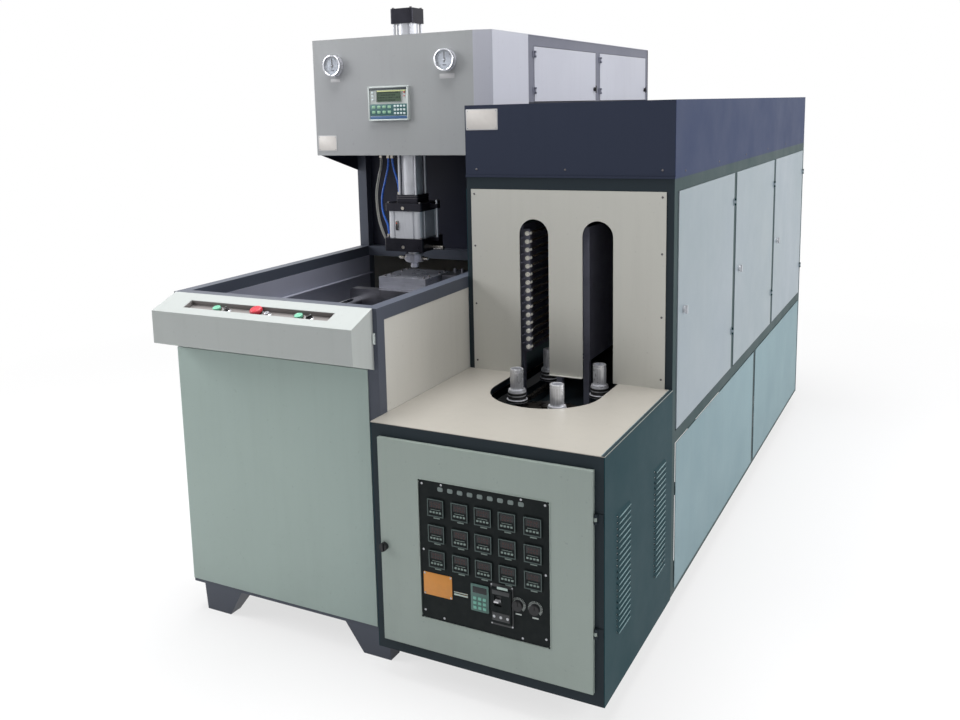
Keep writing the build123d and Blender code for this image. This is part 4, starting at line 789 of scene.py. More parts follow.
def buildBoardPlates(b):
    # bare orange plate on four screws, and the small pale card beside it
    (x0, x1), (z0, z1) = b["plate"]
    inset = b["plateScrew"]
    bm = bmesh.new()
    addPlate(bm, (x0, x1), (z0, z1), 2.5, (boardFace - 1.2, boardFace + 0.2), 0, 0.3)
    for z in (z0 + inset, z1 - inset):
        for x in (x0 + inset, x1 - inset):
            addLathe(bm, (x, boardFace - 1.1, z), ahead, b["plateHead"], 2, 16)
    for z in b["cardLines"]:
        addBlock(bm, b["card"], (boardFace - 0.7, boardFace + 0.2), z, 1, 0.2)
    boardPiece("board_plates", bm, ["plateOrange", "cardWhite", "screwSteel"])
    bm = bmesh.new()
    # bare tiles in the place of the title, and the board's screws
    for k in range(b["tiles"]):
        x = b["tileStart"] + k * b["tileStep"]
        addPlate(bm, around(x, b["tileHalf"]), b["tileTall"], 4, (boardFace - 0.5, boardFace + 0.2), 0, 0.1, 3)
    boardPiece("title_tiles", bm, ["titleGrey"])
    bm = bmesh.new()
    for x, z in b["screws"]:
        addLathe(bm, (x, boardFace, z), ahead, b["boardHead"], 0, 18)
    boardPiece("board_screws", bm, ["screwSteel"])


for build in (buildControllers, buildKeypad, buildBreaker, buildDialScales, buildBoardPlates):
    build(board)
print("cabinet instruments set")

# air hoses: finish, slot, width and the route points of the part's source, in metres
hoses = {
    "blue_hose_short": ("blueHose", "blue_hose_tube", 0.008, [
        (-0.4655, -0.593, 1.498), (-0.4655, -0.593, 1.470), (-0.437, -0.597, 1.395), (-0.437, -0.597, 1.367)]),
    "blue_hose_long": ("blueHose", "blue_hose_tube", 0.008, [
        (-0.4875, -0.587, 1.498), (-0.4875, -0.587, 1.470), (-0.4995, -0.593, 1.4154), (-0.5145, -0.602, 1.3505),
        (-0.5085, -0.611, 1.2856), (-0.4765, -0.619, 1.235), (-0.4765, -0.619, 1.203)]),
    "grey_hose": ("clearHose", "clear_hose_tube", 0.010, [
        (-0.5415, -0.553, 1.498), (-0.5415, -0.553, 1.470), (-0.5555, -0.556, 1.4198), (-0.5665, -0.560, 1.3552),
        (-0.5615, -0.563, 1.2906), (-0.5515, -0.566, 1.2396), (-0.5385, -0.567, 1.205), (-0.5235, -0.567, 1.172),
        (-0.5015, -0.567, 1.158), (-0.4745, -0.567, 1.158)]),
}


def buildHose(node, finishName, slotName, diameter, points):
    curve = bpy.data.curves.new(node + "_line", "CURVE")
    curve.dimensions = "3D"
    curve.bevel_depth = diameter / 2
    curve.bevel_resolution = 5
    curve.use_fill_caps = True
    curve.resolution_u = 16
    spline = curve.splines.new("NURBS")
    spline.points.add(len(points) - 1)
    for place, point in zip(spline.points, points):
        place.co = (*point, 1)
    spline.order_u = 3
    spline.use_endpoint_u = True
    curve.materials.append(finish[finishName])
    hose = addObject(node + "_run", curve)
    # the bends cut the corners of the route, which takes a little off its length
    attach(hose, "machine")
    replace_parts(hose, node)


for node, details in hoses.items():
    buildHose(node, *details)
print("hoses set")


def buildRepeatTree(name):
    # instances of a unit piece on points that carry their own turn, then one real mesh
    tree = bpy.data.node_groups.new(name, "GeometryNodeTree")
    face = tree.interface
    face.new_socket(name="Places", in_out="INPUT", socket_type="NodeSocketGeometry")
    face.new_socket(name="Unit", in_out="INPUT", socket_type="NodeSocketObject")
    face.new_socket(name="Size", in_out="INPUT", socket_type="NodeSocketFloat").default_value = 1.0
    face.new_socket(name="Finish", in_out="INPUT", socket_type="NodeSocketMaterial")
    face.new_socket(name="Pieces", in_out="OUTPUT", socket_type="NodeSocketGeometry")
    source = tree.nodes.new("NodeGroupInput")
    result = tree.nodes.new("NodeGroupOutput")
    unit = tree.nodes.new("GeometryNodeObjectInfo")
    turn = tree.nodes.new("GeometryNodeInputNamedAttribute")
    turn.data_type = "FLOAT_VECTOR"
    turn.inputs["Name"].default_value = "turn"
    spot = tree.nodes.new("GeometryNodeInstanceOnPoints")
    real = tree.nodes.new("GeometryNodeRealizeInstances")
    paint = tree.nodes.new("GeometryNodeSetMaterial")
    for start, output, end, socket in (
            (source, "Places", spot, "Points"), (source, "Unit", unit, "Object"), (unit, "Geometry", spot, "Instance"),
            (turn, "Attribute", spot, "Rotation"), (source, "Size", spot, "Scale"),
            (spot, "Instances", real, "Geometry"), (real, "Geometry", paint, "Geometry"),
            (source, "Finish", paint, "Material"), (paint, "Geometry", result, "Pieces")):
        tree.links.new(start.outputs[output], end.inputs[socket])
    return tree


repeatTree = buildRepeatTree("pieceRepeats")
repeatSockets = {item.name: item.identifier for item in repeatTree.interface.items_tree if item.in_out == "INPUT"}

# turn in degrees that stands a unit on a face looking that way
turns = {"+z": (0, 0, 0), "-y": (90, 0, 0), "+y": (-90, 0, 0), "+x": (0, 90, 0), "-x": (0, -90, 0)}


def spotOn(x, y, z, facing="+z"):
    return (x, y, z), turns[facing]


def buildRepeats(name, fillUnit, places, finishName, body="machine"):
    # places: ((x, y, z) in millimetres, (turn about x, y, z) in degrees); the unit stands on +Z
    bm = bmesh.new()
    fillUnit(bm)
    unit = addObject(name + "_unit", toMesh(name + "_unit", bm))
    spots = bpy.data.meshes.new(name + "_spots")
    spots.from_pydata([tuple(c * mm for c in place) for place, turn in places], [], [])
    turn = spots.attributes.new("turn", "FLOAT_VECTOR", "POINT")
    for item, (place, angles) in zip(turn.data, places):
        item.vector = [math.radians(a) for a in angles]
    holder = addObject(name + "_spots", spots)
    modifier = holder.modifiers.new("repeats", "NODES")
    modifier.node_group = repeatTree
    for socket, value in (("Unit", unit), ("Size", 1.0), ("Finish", finish[finishName])):
        modifier[repeatSockets[socket]] = value
    bpy.context.view_layer.update()
    made = bpy.data.meshes.new_from_object(holder.evaluated_get(bpy.context.evaluated_depsgraph_get()))
    made.name = name
    for old in (holder, unit):
        bpy.data.objects.remove(old)
    made.materials.clear()
    return setPiece(name, made, [finishName], body)


def socketScrew(bm, head=5.0, height=5.0, socket=2.6):
    # cylinder head with a hexagon socket, standing on the plate
    addLathe(bm, (0, 0, 0), up, [(head, -0.3), (head, height - 0.8), (head - 0.8, height), (socket, height)], 0, 22)
    addLathe(bm, (0, 0, 0), up, [(socket, height), (socket, height - 2.2), (0, height - 2.2)], 0, 6)


def panScrew(head):
    # unit for a low round head of that radius
    profile = [(head, -0.3), (head, 0.5), (head * 0.8, 1.5), (head * 0.4, 2.0), (0, 2.1)]
    return lambda bm: addLathe(bm, (0, 0, 0), up, profile, 0, 20)


# conveyor chain: pitch and count as in the part's source, heights from the middle of the links
chain = {
    "pitch": 25.4, "teeth": 28, "straight": 63, "rise": 8, "plateReach": 7.4, "waist": 0.72,
    "outerPlates": ((-8, -6.2), (6.2, 8)), "pin": [(2.4, -8.8), (3.0, -8.4), (3.0, 8.4), (2.4, 8.8)],
    "innerPlates": ((-6.0, -4.4), (4.4, 6.0)),
    "roller": [(3.2, -4.6), (6.2, -4.4), (6.6, -4.0), (6.6, 4.0), (6.2, 4.4), (3.2, 4.6)],
    "carrier": ((-13, 13), (-9, 9)), "stud": [(11, 10.6), (11, 12.6), (8, 13.2), (8, 37), (7, 38)],
    "stations": 14, "stationStep": 11}
chainLoop = 2 * chain["straight"] + chain["teeth"]
chainMiddle = planeOf("drive_chain", 0, "z") + chain["rise"]
wheelX = jointOf["front_sprocket_turn"]["pos_m"][0] / mm
wheelY = [jointOf[n + "_sprocket_turn"]["pos_m"][1] / mm for n in ("front", "rear")]
chainLane = chain["pitch"] / 2 / math.sin(math.pi / chain["teeth"])


def chainJoint(j):
    # pin places along the loop: left run to the rear, round, right run to the front, round
    half, straight = chain["teeth"] // 2, chain["straight"]
    j = j % chainLoop
    if j <= straight:
        return wheelX - chainLane, wheelY[0] + j * chain["pitch"]
    if j <= straight + half:
        angle = math.pi - (j - straight) * math.pi / half
        return wheelX + chainLane * math.cos(angle), wheelY[1] + chainLane * math.sin(angle)
    if j <= 2 * straight + half:
        return wheelX + chainLane, wheelY[1] - (j - straight - half) * chain["pitch"]
    angle = -(j - 2 * straight - half) * math.pi / half
    return wheelX + chainLane * math.cos(angle), wheelY[0] + chainLane * math.sin(angle)


def mandrelStop(k):
    return chainJoint(1 + chain["stationStep"] * k)


def chainLink(plates, pinProfile, segments):
    # unit of two waisted plates with what goes through them at both pins
    half, reach = chain["pitch"] / 2, chain["plateReach"]
    outline = []
    for end, start in ((half, -90), (-half, 90)):
        for angle in [math.radians(start + 15 * k) for k in range(13)]:
            outline.append((end + reach * math.cos(angle), reach * math.sin(angle)))
        outline.append((0, math.copysign(reach * chain["waist"], end)))

    def unit(bm):
        for low, high in plates:
            addOutline(bm, outline, "z", low, high, 0, 0.25)
        for x in (-half, half):
            addLathe(bm, (x, 0, 0), up, pinProfile, 0, segments)
    return unit


def mandrelCarrier(bm):
    # carrier on the chain under each mandrel: bracket plate, stud and its lock ring
    addOutline(bm, roundedBox(*chain["carrier"], 4, 4), "z", 8.2, 10.8, 0, 0.4)
    addLathe(bm, (0, 0, 0), up, chain["stud"], 0, 24)


def buildChain(c):
    places = []
    for j in range(chainLoop):
        a, b = chainJoint(j), chainJoint(j + 1)
        heading = math.degrees(math.atan2(b[1] - a[1], b[0] - a[0]))
        places.append((((a[0] + b[0]) / 2, (a[1] + b[1]) / 2, chainMiddle), (0, 0, heading)))
    studs = [spotOn(*mandrelStop(k), chainMiddle) for k in range(c["stations"])]
    for name, unit, spots, finishName in (
            ("chain_outer_links", chainLink(c["outerPlates"], c["pin"], 16), places[0::2], "oiledChain"),
            ("chain_inner_links", chainLink(c["innerPlates"], c["roller"], 20), places[1::2], "oiledChain"),
            ("mandrel_carriers", mandrelCarrier, studs, "boltSteel")):
        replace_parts(buildRepeats(name, unit, spots, finishName), "drive_chain")


buildChain(chain)
print("chain set")

# the console's sunk channel, in its own axes: X along, Y up the slope, Z off the slope
channel = {
    # its middle lies at this share of the slope, which is that deep and high and starts at that height
    "share": 0.47, "slope": (113, 41), "frontZ": 1074, "depth": 16, "half": 276, "halfWide": 21.4, "gap": 0.8,
    "buttonPitch": 158, "sidePitch": 38, "ringInner": 16.4, "ringOuter": (19.5, 21), "smallRing": (9.2, 13.6),
    "selectorTurn": 35, "selectorRing": [(9.8, 0), (11, 0.8), (11, 3.2), (9.6, 4.2), (8.8, 4.2), (8.8, 0)],
    "selectorBody": [(8.7, 0), (8.7, 6.6), (7.8, 7.6), (0, 7.8)],
    "handle": (2.4, (-9.2, 9.2), (7, 14.2)), "handleLine": (0.5, (3.0, 8.2), (14.0, 14.6)),
    "keySlot": (0.8, (-4.6, 4.6)),
    "barrel": [(9.8, 0), (11, 0.8), (11, 3.4), (9.6, 4.4), (8.8, 4.4), (8.4, 9.6), (7.4, 10.6), (1.5, 10.6)],
    "buttonFace": [(12.9, -1.2), (12.9, 0.5), (12.0, 1.1), (10.8, 0.6), (0, 0.35)], "buttonTop": 12.2}
consoleBox = boxOf("console")
startAxis = Vector(jointOf["start_left_press"]["axis"])
channelTilt = math.atan2(startAxis.y, -startAxis.z)
channelPlace = Vector(((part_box("stop_button")[0].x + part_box("stop_button")[1].x) / 2 / mm,
                       consoleBox[0][1] + channel["share"] * channel["slope"][0],
                       channel["frontZ"] + channel["share"] * channel["slope"][1]))


def onConsole(bm):
    # from the channel's own axes to the machine's
    place = Matrix.Translation(channelPlace * mm) @ Matrix.Rotation(channelTilt, 4, "X")
    bmesh.ops.transform(bm, matrix=place, verts=bm.verts)


def lineChannel(c):
    # liner painted darker on the floor and walls of the channel: painted shade for the sunk recess
    sheet, wall = (-c["depth"] - 0.2, -c["depth"] + 0.5), (-c["depth"], -1.2)
    half, wide = c["half"], c["halfWide"]
    bm = bmesh.new()
    edges = [-half]
    for node in ("start_button_left", "stop_button", "start_button_right"):
        low, high = boxOf(node)
        x = (low.x + high.x) / 2 - channelPlace.x
        hole = (high.x - low.x) / 2 + c["gap"]
        edges += [x - hole - 1, x + hole + 1]
        for side in (-1, 1):
            # the button drops through a round hole, so the sheet is two halves with an arc cut out
            arc = [(x + side * hole * math.sin(a), -hole * math.cos(a)) for a in [math.pi * k / 24 for k in range(25)]]
            outer = x + side * (hole + 1)
            rim = [(x, wide), (outer, wide), (outer, -wide), (x, -wide)]
            addOutline(bm, (rim + arc)[::side], "z", *sheet)
    for x in zip(edges[0::2], edges[1::2] + [half]):
        addBlock(bm, x, (-wide, wide), sheet, 0, 0.2)
    for side in (-1, 1):
        addBlock(bm, (-half, half), sorted((side * (wide - 0.2), side * (wide + 0.55))), wall, 0, 0.2)
        addBlock(bm, sorted((side * (half + 0.1), side * (half + 0.9))), (-wide, wide), wall, 0, 0.2)
    onConsole(bm)
    makePiece("channel_liner", bm, ["channelShadeGrey"])


def buildConsoleControls(c):
    floor, pitch, side = -c["depth"], c["buttonPitch"], c["sidePitch"]
    seat = floor + 0.6
    bm = bmesh.new()
    # bare legend rings round the three buttons and the three switches beside them
    small, large = c["ringOuter"]
    for x, inner, outer, top, segments in (
            (-pitch, c["ringInner"], small, 1.3, 48), (pitch, c["ringInner"], small, 1.3, 48),
            (0, c["ringInner"], large, 1.3, 48), (side - pitch, *c["smallRing"], 1.2, 40),
            (side + pitch, *c["smallRing"], 1.2, 40), (side, *c["smallRing"], 1.2, 40)):
        addHoop(bm, (x, 0, 0), inner, outer, floor + 0.4, floor + top, segments=segments)
    onConsole(bm)
    makePiece("console_legends", bm, ["plateSilver"])
    bm = bmesh.new()
    # selector switches beside the start buttons: chrome ring, black body, wing handle with a pale line
    for x, angle in ((side - pitch, c["selectorTurn"]), (side + pitch, -c["selectorTurn"])):
        spin = (angle, up, (x, 0, 0))
        addLathe(bm, (x, 0, seat), up, c["selectorRing"], 1, 36, True)
        addLathe(bm, (x, 0, seat), up, c["selectorBody"], 0, 32)
        for (half, y, z), slot, edge, segments in ((c["handle"], 0, 1.2, 3), (c["handleLine"], 2, 0.1, 1)):
            addBlock(bm, around(x, half), y, [floor + a for a in z], slot, edge, segments, spin)
    onConsole(bm)
    makePiece("selector_switches", bm, ["blackPlastic", "chromeRing", "keyWhite"])
    bm = bmesh.new()
    # key switch beside the stop button: bright barrel with a key slot
    addLathe(bm, (side, 0, seat), up, c["barrel"])
    half, y = c["keySlot"]
    addBlock(bm, around(side, half), y, (floor + 9.6, floor + 11.5), 1)
    addHoop(bm, (side, 0, floor + 11.1), 4.2, 5.2, 0, 0.5, segments=32)
    onConsole(bm)
    makePiece("key_switch", bm, ["chromeRing", "blackPlastic"])
    # raised rims of the start buttons, which move with them
    for name, x in (("left", -pitch), ("right", pitch)):
        bm = bmesh.new()
        addLathe(bm, (x, 0, floor + c["buttonTop"]), up, c["buttonFace"])
        onConsole(bm)
        makePiece("start_face_" + name, bm, ["greenPlastic"], "start_button_" + name)


lineChannel(channel)
buildConsoleControls(channel)
print("console controls set")

# lamp banks: rows of lamps in the two walls of the oven, from the middle of the conveyor
oven = {
    "lampX": 159, "lampZ": (870, 28, 15), "ribX": 175, "ribZ": (884, 28, 14), "ribY": (26, 200, 374),
    "rib": ((-2.6, 2.6), (-62, 62)), "coilInset": 22, "coils": 5,
    "end": [(8.2, -2), (9.2, -1), (9.2, 11), (7.8, 12.5), (7.8, 20), (6.2, 21.6), (0, 21.6)],
    "turn": [(1.3, -0.8), (3.6, -0.5), (3.6, 0.5), (1.3, 0.8)]}


def buildOvenDetails(o):
    frontY, rearY = (planeOf("lamp_tubes", k, "y") for k in (0, 1))
    middleY, half = (frontY + rearY) / 2, (rearY - frontY) / 2 - o["coilInset"]
    ends, coils, ribs = [], [], []
    for side in (-1, 1):
        x = wheelX + side * o["lampX"]
        start, step, count = o["lampZ"]
        for z in range(start, start + step * count, step):
            ends += [spotOn(x, frontY, z, "-y"), spotOn(x, rearY, z, "+y")]
            coils.append(spotOn(x, middleY, z, "-y"))
        start, step, count = o["ribZ"]
        for z in range(start, start + step * count, step):
            ribs += [spotOn(wheelX + side * o["ribX"], frontY + y, z, "-x" if side > 0 else "+x") for y in o["ribY"]]

    def lampEnd(bm):
        # ceramic end with two steps and its metal clip
        addLathe(bm, (0, 0, 0), up, o["end"], 0, 24)
        addBlock(bm, (-1.6, 1.6), (-6.3, 6.3), (20.5, 22.6), 0, 0.4)

    def filament(bm):
        addLathe(bm, (0, 0, 0), up, [(1.1, -half), (1.3, -half + 4), (1.3, half - 4), (1.1, half)], 0, 8)
        for k in range(-o["coils"], o["coils"] + 1):
            addLathe(bm, (0, 0, half * k / (o["coils"] + 1)), up, o["turn"], 0, 10)

    def rib(bm):
        # pressed stiffening rib of the reflector sheet
        addOutline(bm, roundedBox(*o["rib"], 2.5, 4), "z", -0.3, 2.4, 0, 0.8)

    buildRepeats("lamp_ends", lampEnd, ends, "ceramicWhite")
    buildRepeats("lamp_filaments", filament, coils, "filamentWire")
    buildRepeats("reflector_ribs", rib, ribs, "mirrorSheet")


buildOvenDetails(oven)
print("oven details set")

# mandrels: which station of the chain each body has, and the bands by (radius, height or limits, thickness)
mandrel = {
    "stations": {"mandrel_1": 0, "mandrel_2": 1, "mandrel_3": 13, "mandrel_4": 12},
    "flats": 16, "flat": ((-2.7, 2.7), (-21.5, -20.6), (49, 98)),
    "bands": ((21.7, 44, 2.6), (21.8, 104.5, 2.2), (28.0, 37, 3.4)), "rimZ": 108,
    "rim": [(17.0, -0.6), (17.0, 0.2), (18.2, 0.8), (20.0, 0.8), (21.1, 0.2), (21.1, -0.6)],
    "darkBands": ((29.6, 9, 20), (29.6, 23, 31), (34.5, 0.6, 7.4))}


def buildMandrelDetails(m, name, body, stops):
    baseZ = planeOf("mandrel_1", 0, "z")
    bright, dark = bmesh.new(), bmesh.new()
    across, depth, tall = m["flat"]
    for stop in stops:
        x, y = mandrelStop(stop)
        # shallow drawn flats up the cup, a rolled rim and rings
        for n in range(m["flats"]):
            addBlock(bright, [x + a for a in across], [y + a for a in depth], [baseZ + a for a in tall], 0, 0.3, 1,
                     (360 * n / m["flats"], up, (x, y, 0)))
        for radius, z, thick in m["bands"]:
            addHoop(bright, (x, y, baseZ + z), radius - 1.2, radius, -thick / 2, thick / 2, chamfer=0.4)
        addLathe(bright, (x, y, baseZ + m["rimZ"]), up, m["rim"], 0, 44, True)
        for radius, low, high in m["darkBands"]:
            addHoop(dark, (x, y, baseZ), radius - 1, radius, low, high, segments=48, chamfer=0.6)
    makePiece(name + "_rings", bright, ["brightAlloy"], body)
    makePiece(name + "_base", dark, ["rubberBlack"], body)


for body, stop in mandrel["stations"].items():
    buildMandrelDetails(mandrel, body, body, [stop])
others = [k for k in range(chain["stations"]) if k not in mandrel["stations"].values()]
buildMandrelDetails(mandrel, "fixed_mandrels", "machine", others)
print("mandrels dressed")

# stretch-blow head: places from its axis, heights of the cylinder's caps from the floor and of the nozzle from its lip
head = {
    # distance of the four screws from the axis, and their height; the last ones stand on the top cap
    "screws": ((69, 1330), (74, 1195), (38, None)), "seams": (1346, 1354), "seamHalf": 48, "seamWide": 1.2,
    "plugs": ((1162, 85), (1312, 80)), "plug": [(7, -1), (7, 2.2), (4, 2.2), (4, 1)],
    "sensor": ((-36, -26), (-78.5, -72.6), (1226, 1262)), "sensorLamp": ((-34, -28), (-79.2, -78), (1250, 1256)),
    "nut": [(37.4, 48), (37.4, 52), (36.4, 53), (26, 53), (26, 48)], "knurls": 36,
    "knurl": ((-1.1, 1.1), (-38.1, -36.6), (31, 46)), "bands": (8, 16), "band": (15, 17.2, 1.4),
    "lip": [(10, -0.2), (14.5, -0.2), (15.5, 1.2), (15.5, 3.0), (10, 3.0)], "elbow": (35.5, -6, 39),
    "hexagon": [(0, -1), (8.5, -1), (9.2, 0), (9.2, 8), (8.5, 9), (0, 9)],
    "sleeve": [(0, 8), (6, 8), (6, 20), (7.2, 20.5), (7.2, 26), (6.4, 27), (0, 27)],
    "tube": [(0, 26), (4.6, 26.5), (4.6, 30), (0, 30)],
    # screws of the mould halves: from the sides, and from the edge at the clamp's back or front
    "mouldSide": 18, "mouldDepth": (20, 62)}
axisX, axisY = [sum(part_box("stretch_rod")[k][axis] for k in (0, 1)) / 2 / mm for axis in (0, 1)]


def fromAxis(x, y, z, rise=0):
    return [axisX + a for a in x], [axisY + a for a in y], [rise + a for a in z]


def buildCylinderDetails(h):
    places = []
    for sx in (-1, 1):
        for sy in (-1, 1):
            for off, z in h["screws"]:
                places.append(spotOn(axisX + sx * off, axisY + sy * off, z or planeOf("cylinder_caps", 1, "z") - 0.2))
    buildRepeats("cylinder_screws", socketScrew, places, "boltSteel")
    bm = bmesh.new()
    # cap seams, port plugs and the stop sensor on the bright profile
    half = h["seamHalf"]
    for z in h["seams"]:
        outline = roundedBox(around(axisX, half), around(axisY, half), 8)
        addOutline(bm, outline, "z", z, z + h["seamWide"], 1)
    for z, out in h["plugs"]:
        addLathe(bm, (axisX, axisY - out, z), ahead, h["plug"], 0, 6)
    addBlock(bm, *fromAxis(*h["sensor"]), 2, 1.0)
    addBlock(bm, *fromAxis(*h["sensorLamp"]), 3, 0.4)
    makePiece("cylinder_fittings", bm, ["platedFitting", "boltSteel", "blackPlastic", "lampRed"])


def buildNozzleDetails(h):
    # round nut, knurled ring, bands and seal lip, all moving with the nozzle
    low = planeOf("blow_nozzle", 0, "z")
    foot = (axisX, axisY, low)
    bm = bmesh.new()
    addLathe(bm, foot, up, h["nut"], 0, 48, True)
    for k in range(h["knurls"]):
        addBlock(bm, *fromAxis(*h["knurl"], low), 0, 0.3, 1, (360 * k / h["knurls"], up, (axisX, axisY, 0)))
    inner, outer, half = h["band"]
    for z in h["bands"]:
        addHoop(bm, foot, inner, outer, z - half, z + half, chamfer=0.4)
    addLathe(bm, foot, up, h["lip"], 1, 40, True)
    # elbows with hexagons and push-in rings on both sides of the flange
    out, forward, rise = h["elbow"]
    for side in (-1, 1):
        start = (axisX + side * out, axisY + forward, low + rise)
        for profile, slot, segments in ((h["hexagon"], 2, 6), (h["sleeve"], 2, 24), (h["tube"], 3, 20)):
            addLathe(bm, start, (side, 0, 0), profile, slot, segments)
    makePiece("nozzle_rings", bm, ["litNozzleSteel", "rubberBlack", "platedFitting", "casePlastic"],
              "blow_nozzle")


def buildMouldScrews(h, half, edge, body):
    # four screws on the top of a mould half; edge is 0 for its front, 1 for its back
    box = boxOf("mould_half_" + half)
    side = h["mouldSide"]
    places = [spotOn(x, box[edge].y + (a if edge == 0 else -a), box[1].z)
              for x in (box[0].x + side, box[1].x - side) for a in h["mouldDepth"]]
    buildRepeats(half + "_mould_screws", socketScrew, places, "boltSteel", body)


buildCylinderDetails(head)
buildNozzleDetails(head)
buildMouldScrews(head, "rear", 1, "machine")
buildMouldScrews(head, "front", 0, "moving_clamp")
print("head and mould screws set")

# bare notice plates: from the left edge, and from the lower or upper edge of the sheet
plates = {"head": ((8, 96), (17, 78)), "hood": ((4, 121), (-82, -13)), "hoodProud": 4, "inset": 3, "rivet": 6,
          "rivetHead": 1.8}


def buildPlates(p):
    # bare plates where the machine carries its notices, each on four rivets
    headBox, hoodBox = boxOf("head_cover"), boxOf("hood")
    bm = bmesh.new()
    rivets = []
    for left, bottom, face, (x, z) in (
            (headBox[0].x, headBox[0].z, headBox[0].y, p["head"]),
            (hoodBox[0].x, hoodBox[1].z, hoodBox[0].y + p["hoodProud"], p["hood"])):
        x, z = [left + a for a in x], [bottom + a for a in z]
        addPlate(bm, x, z, 3, (face - 0.8, face + 0.3), 0, 0.2)
        within = [(low + p["inset"], high - p["inset"]) for low, high in (x, z)]
        addPlate(bm, *within, 2, (face - 1.0, face - 0.7), 1, 0.1)
        rivets += [spotOn(px, face - 0.9, pz, "-y") for px in (x[0] + p["rivet"], x[1] - p["rivet"])
                   for pz in (z[0] + p["rivet"], z[1] - p["rivet"])]
    makePiece("notice_plates", bm, ["plateSilver", "plateBare"])
    buildRepeats("notice_rivets", panScrew(p["rivetHead"]), rivets, "screwSteel")


buildPlates(plates)

# countersunk screws of the skins: set in from the edges of each sheet
skinScrews = {"slotSide": 12, "slotRise": (30, 230, 430), "slotTop": 16, "slotOut": 1.9,
              "hoodEnd": 120, "hoodCount": 6, "hoodRise": 18, "lipSide": 40, "lipRise": 26, "lipIn": 4, "head": 3.6}


def buildFastenings(s):
    slot, hood = boxOf("slot_panel"), boxOf("hood")
    levels = [slot[0].z + a for a in s["slotRise"]] + [slot[1].z - s["slotTop"]]
    places = [spotOn(x, slot[1].y - s["slotOut"], z, "-y")
              for x in (slot[0].x + s["slotSide"], slot[1].x - s["slotSide"]) for z in levels]
    step = (hood[1].y - hood[0].y - 2 * s["hoodEnd"]) / (s["hoodCount"] - 1)
    for k in range(s["hoodCount"]):
        places.append(spotOn(hood[1].x, hood[0].y + s["hoodEnd"] + k * step, hood[0].z + s["hoodRise"], "+x"))
    for x in (hood[0].x + s["lipSide"], wheelX, hood[1].x - s["lipSide"]):
        places.append(spotOn(x, hood[0].y + s["lipIn"], hood[0].z + s["lipRise"], "-y"))
    buildRepeats("skin_screws", panScrew(s["head"]), places, "boltSteel")


buildFastenings(skinScrews)
print("plates and screws set")

# rolled lips of the pressed louvres, with a painted highlight along the crest for the glints on them
louvre = {"columns": (154, 509), "count": 20, "first": 250.2, "step": 17.7, "long": 107, "inset": 0.6,
          "rounds": 8, "steps": 12}


def buildLouvreLips(v):
    crest, front = planeOf("heater_panels", 1, "x") - v["inset"], planeOf("heater_panels", 0, "y")
    places = [spotOn(crest, front + y, v["first"] + k * v["step"]) for y in v["columns"] for k in range(v["count"])]

    def lip(bm):
        # a bowed bead that runs out at both ends
        rows = []
        for share in [i / v["steps"] for i in range(v["steps"] + 1)]:
            bow = math.sin(math.pi * share) ** 0.4
            ring = [(math.cos(a) * (0.5 + 1.1 * bow), math.sin(a) * (0.4 + 1.4 * bow))
                    for a in [math.tau * j / v["rounds"] for j in range(v["rounds"])]]
            rows.append([bm.verts.new((x * mm, v["long"] * (share - 0.5) * mm, z * mm)) for x, z in ring])
        for low, high in zip(rows, rows[1:]):
            for j in range(v["rounds"]):
                k = (j + 1) % v["rounds"]
                bm.faces.new((low[j], high[j], high[k], low[k]))
        bm.faces.new(rows[0])
        bm.faces.new(rows[-1][::-1])

    buildRepeats("louvre_lips", lip, places, "rubbedTealGlint")


buildLouvreLips(louvre)
print("louvre lips set")

# dark edging of the table sheet: finish slot, start and end from the open side, from the front, thickness
tableEdging = ((0, -9, 0, 0, 0.9, 0.3), (1, -11, -9, 2, 0.7, 0.2))
# folded lip round the board's window, with its corners squared
windowLip = {"side": (191.5, 592.5), "tall": (226, 648), "bar": 2.6, "corner": 6, "setBack": 13.5}


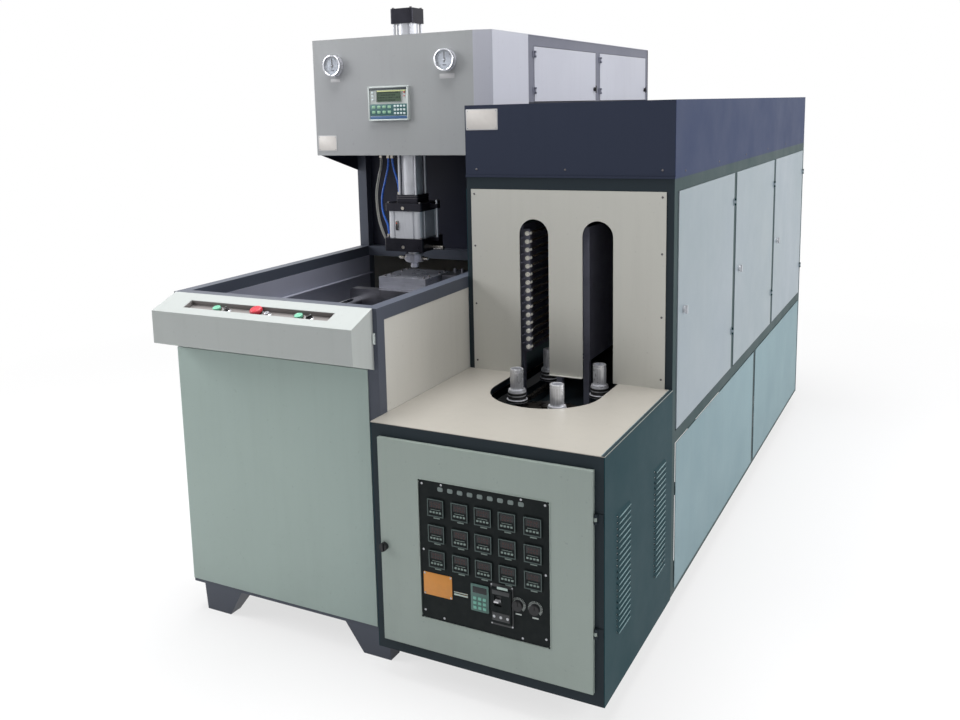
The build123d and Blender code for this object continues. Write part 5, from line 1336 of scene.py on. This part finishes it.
def buildTrims(edging, w):
    low, high = boxOf("table_top")
    bm = bmesh.new()
    for slot, start, end, front, thick, edge in edging:
        tall = (high.z - 0.4, high.z + thick)
        addBlock(bm, (high.x + start, high.x + end), (low.y + front, high.y), tall, slot, edge)
    makePiece("table_edging", bm, ["greenSlate", "rubbedTealGlint"])
    (x0, x1), (z0, z1), bar, corner = w["side"], w["tall"], w["bar"], w["corner"]
    face = planeOf("cabinet_door", 1, "y") - w["setBack"]
    bm = bmesh.new()
    addFrame(bm, (x0 - bar, x1 + bar), (z0 - bar, z1 + bar), bar, (face - 1.4, face + 0.6), 0, 0.5, bar)
    for x in (x0, x1 - corner):
        for z in (z0, z1 - corner):
            addBlock(bm, (x, x + corner), (face - 0.4, face + 1.5), (z, z + corner), 1)
    makePiece("window_lip", bm, ["doorPaint", "panelBlack"], "cabinet_door")


buildTrims(tableEdging, windowLip)
print("trims set")

# frame post that carries the joint of the two lower side panels, with its row of screws
seamPost = {"inset": 8, "tall": (102, 602), "y": 407.5, "half": 20, "deep": 38, "bead": 2.2,
            "screws": 6, "screwRise": 40, "screwStep": 84, "head": 3.2}


def buildSeamPost(p):
    out = planeOf("heater_panels", 1, "x") - p["inset"]
    (low, high), y, half = p["tall"], p["y"], p["half"]
    bm = bmesh.new()
    addBlock(bm, (out - p["deep"], out - 0.4), around(y, half), (low + 0.6, high), 0, 0.6)
    for side in (-1, 1):
        bead = sorted((y + side * half, y + side * (half + p["bead"])))
        addBlock(bm, (out - 3, out - 0.2), bead, (low + 1, high), 1, 0.3)
    makePiece("seam_post", bm, ["greenSlate", "rubberBlack"])
    screws = [spotOn(out - 0.4, y, low + p["screwRise"] + k * p["screwStep"], "+x") for k in range(p["screws"])]
    buildRepeats("seam_screws", panScrew(p["head"]), screws, "boltSteel")


buildSeamPost(seamPost)
print("seam post set")

# bright hinge that ties the end of the console to the front post: heights from the floor
hinge = {"leafSide": (0.6, 7.8), "leafFront": (2.6, 0.2), "leaf": (1008, 1042), "pinPlace": (3.6, 4.6),
         "pin": [(0, 1010), (2.8, 1010.4), (2.8, 1039.6), (0, 1040)], "screws": (1016, 1034), "screwPlace": (6.0, 2.5),
         "screwHead": [(1.6, -0.4), (1.6, 0.5), (0.9, 0.9), (0, 0.9)]}


def buildConsoleHinge(h):
    end, front = consoleBox[1][0], consoleBox[1][1]
    bm = bmesh.new()
    addBlock(bm, [end + a for a in h["leafSide"]], [front - a for a in h["leafFront"]], h["leaf"], 0, 0.5)
    x, y = h["pinPlace"]
    addLathe(bm, (end + x, front - y, 0), up, h["pin"], 0, 20)
    x, y = h["screwPlace"]
    for z in h["screws"]:
        addLathe(bm, (end + x, front - y, z), ahead, h["screwHead"], 1, 14)
    makePiece("console_hinge", bm, ["bezelSilver", "boltSteel"])


buildConsoleHinge(hinge)
print("console hinge set")
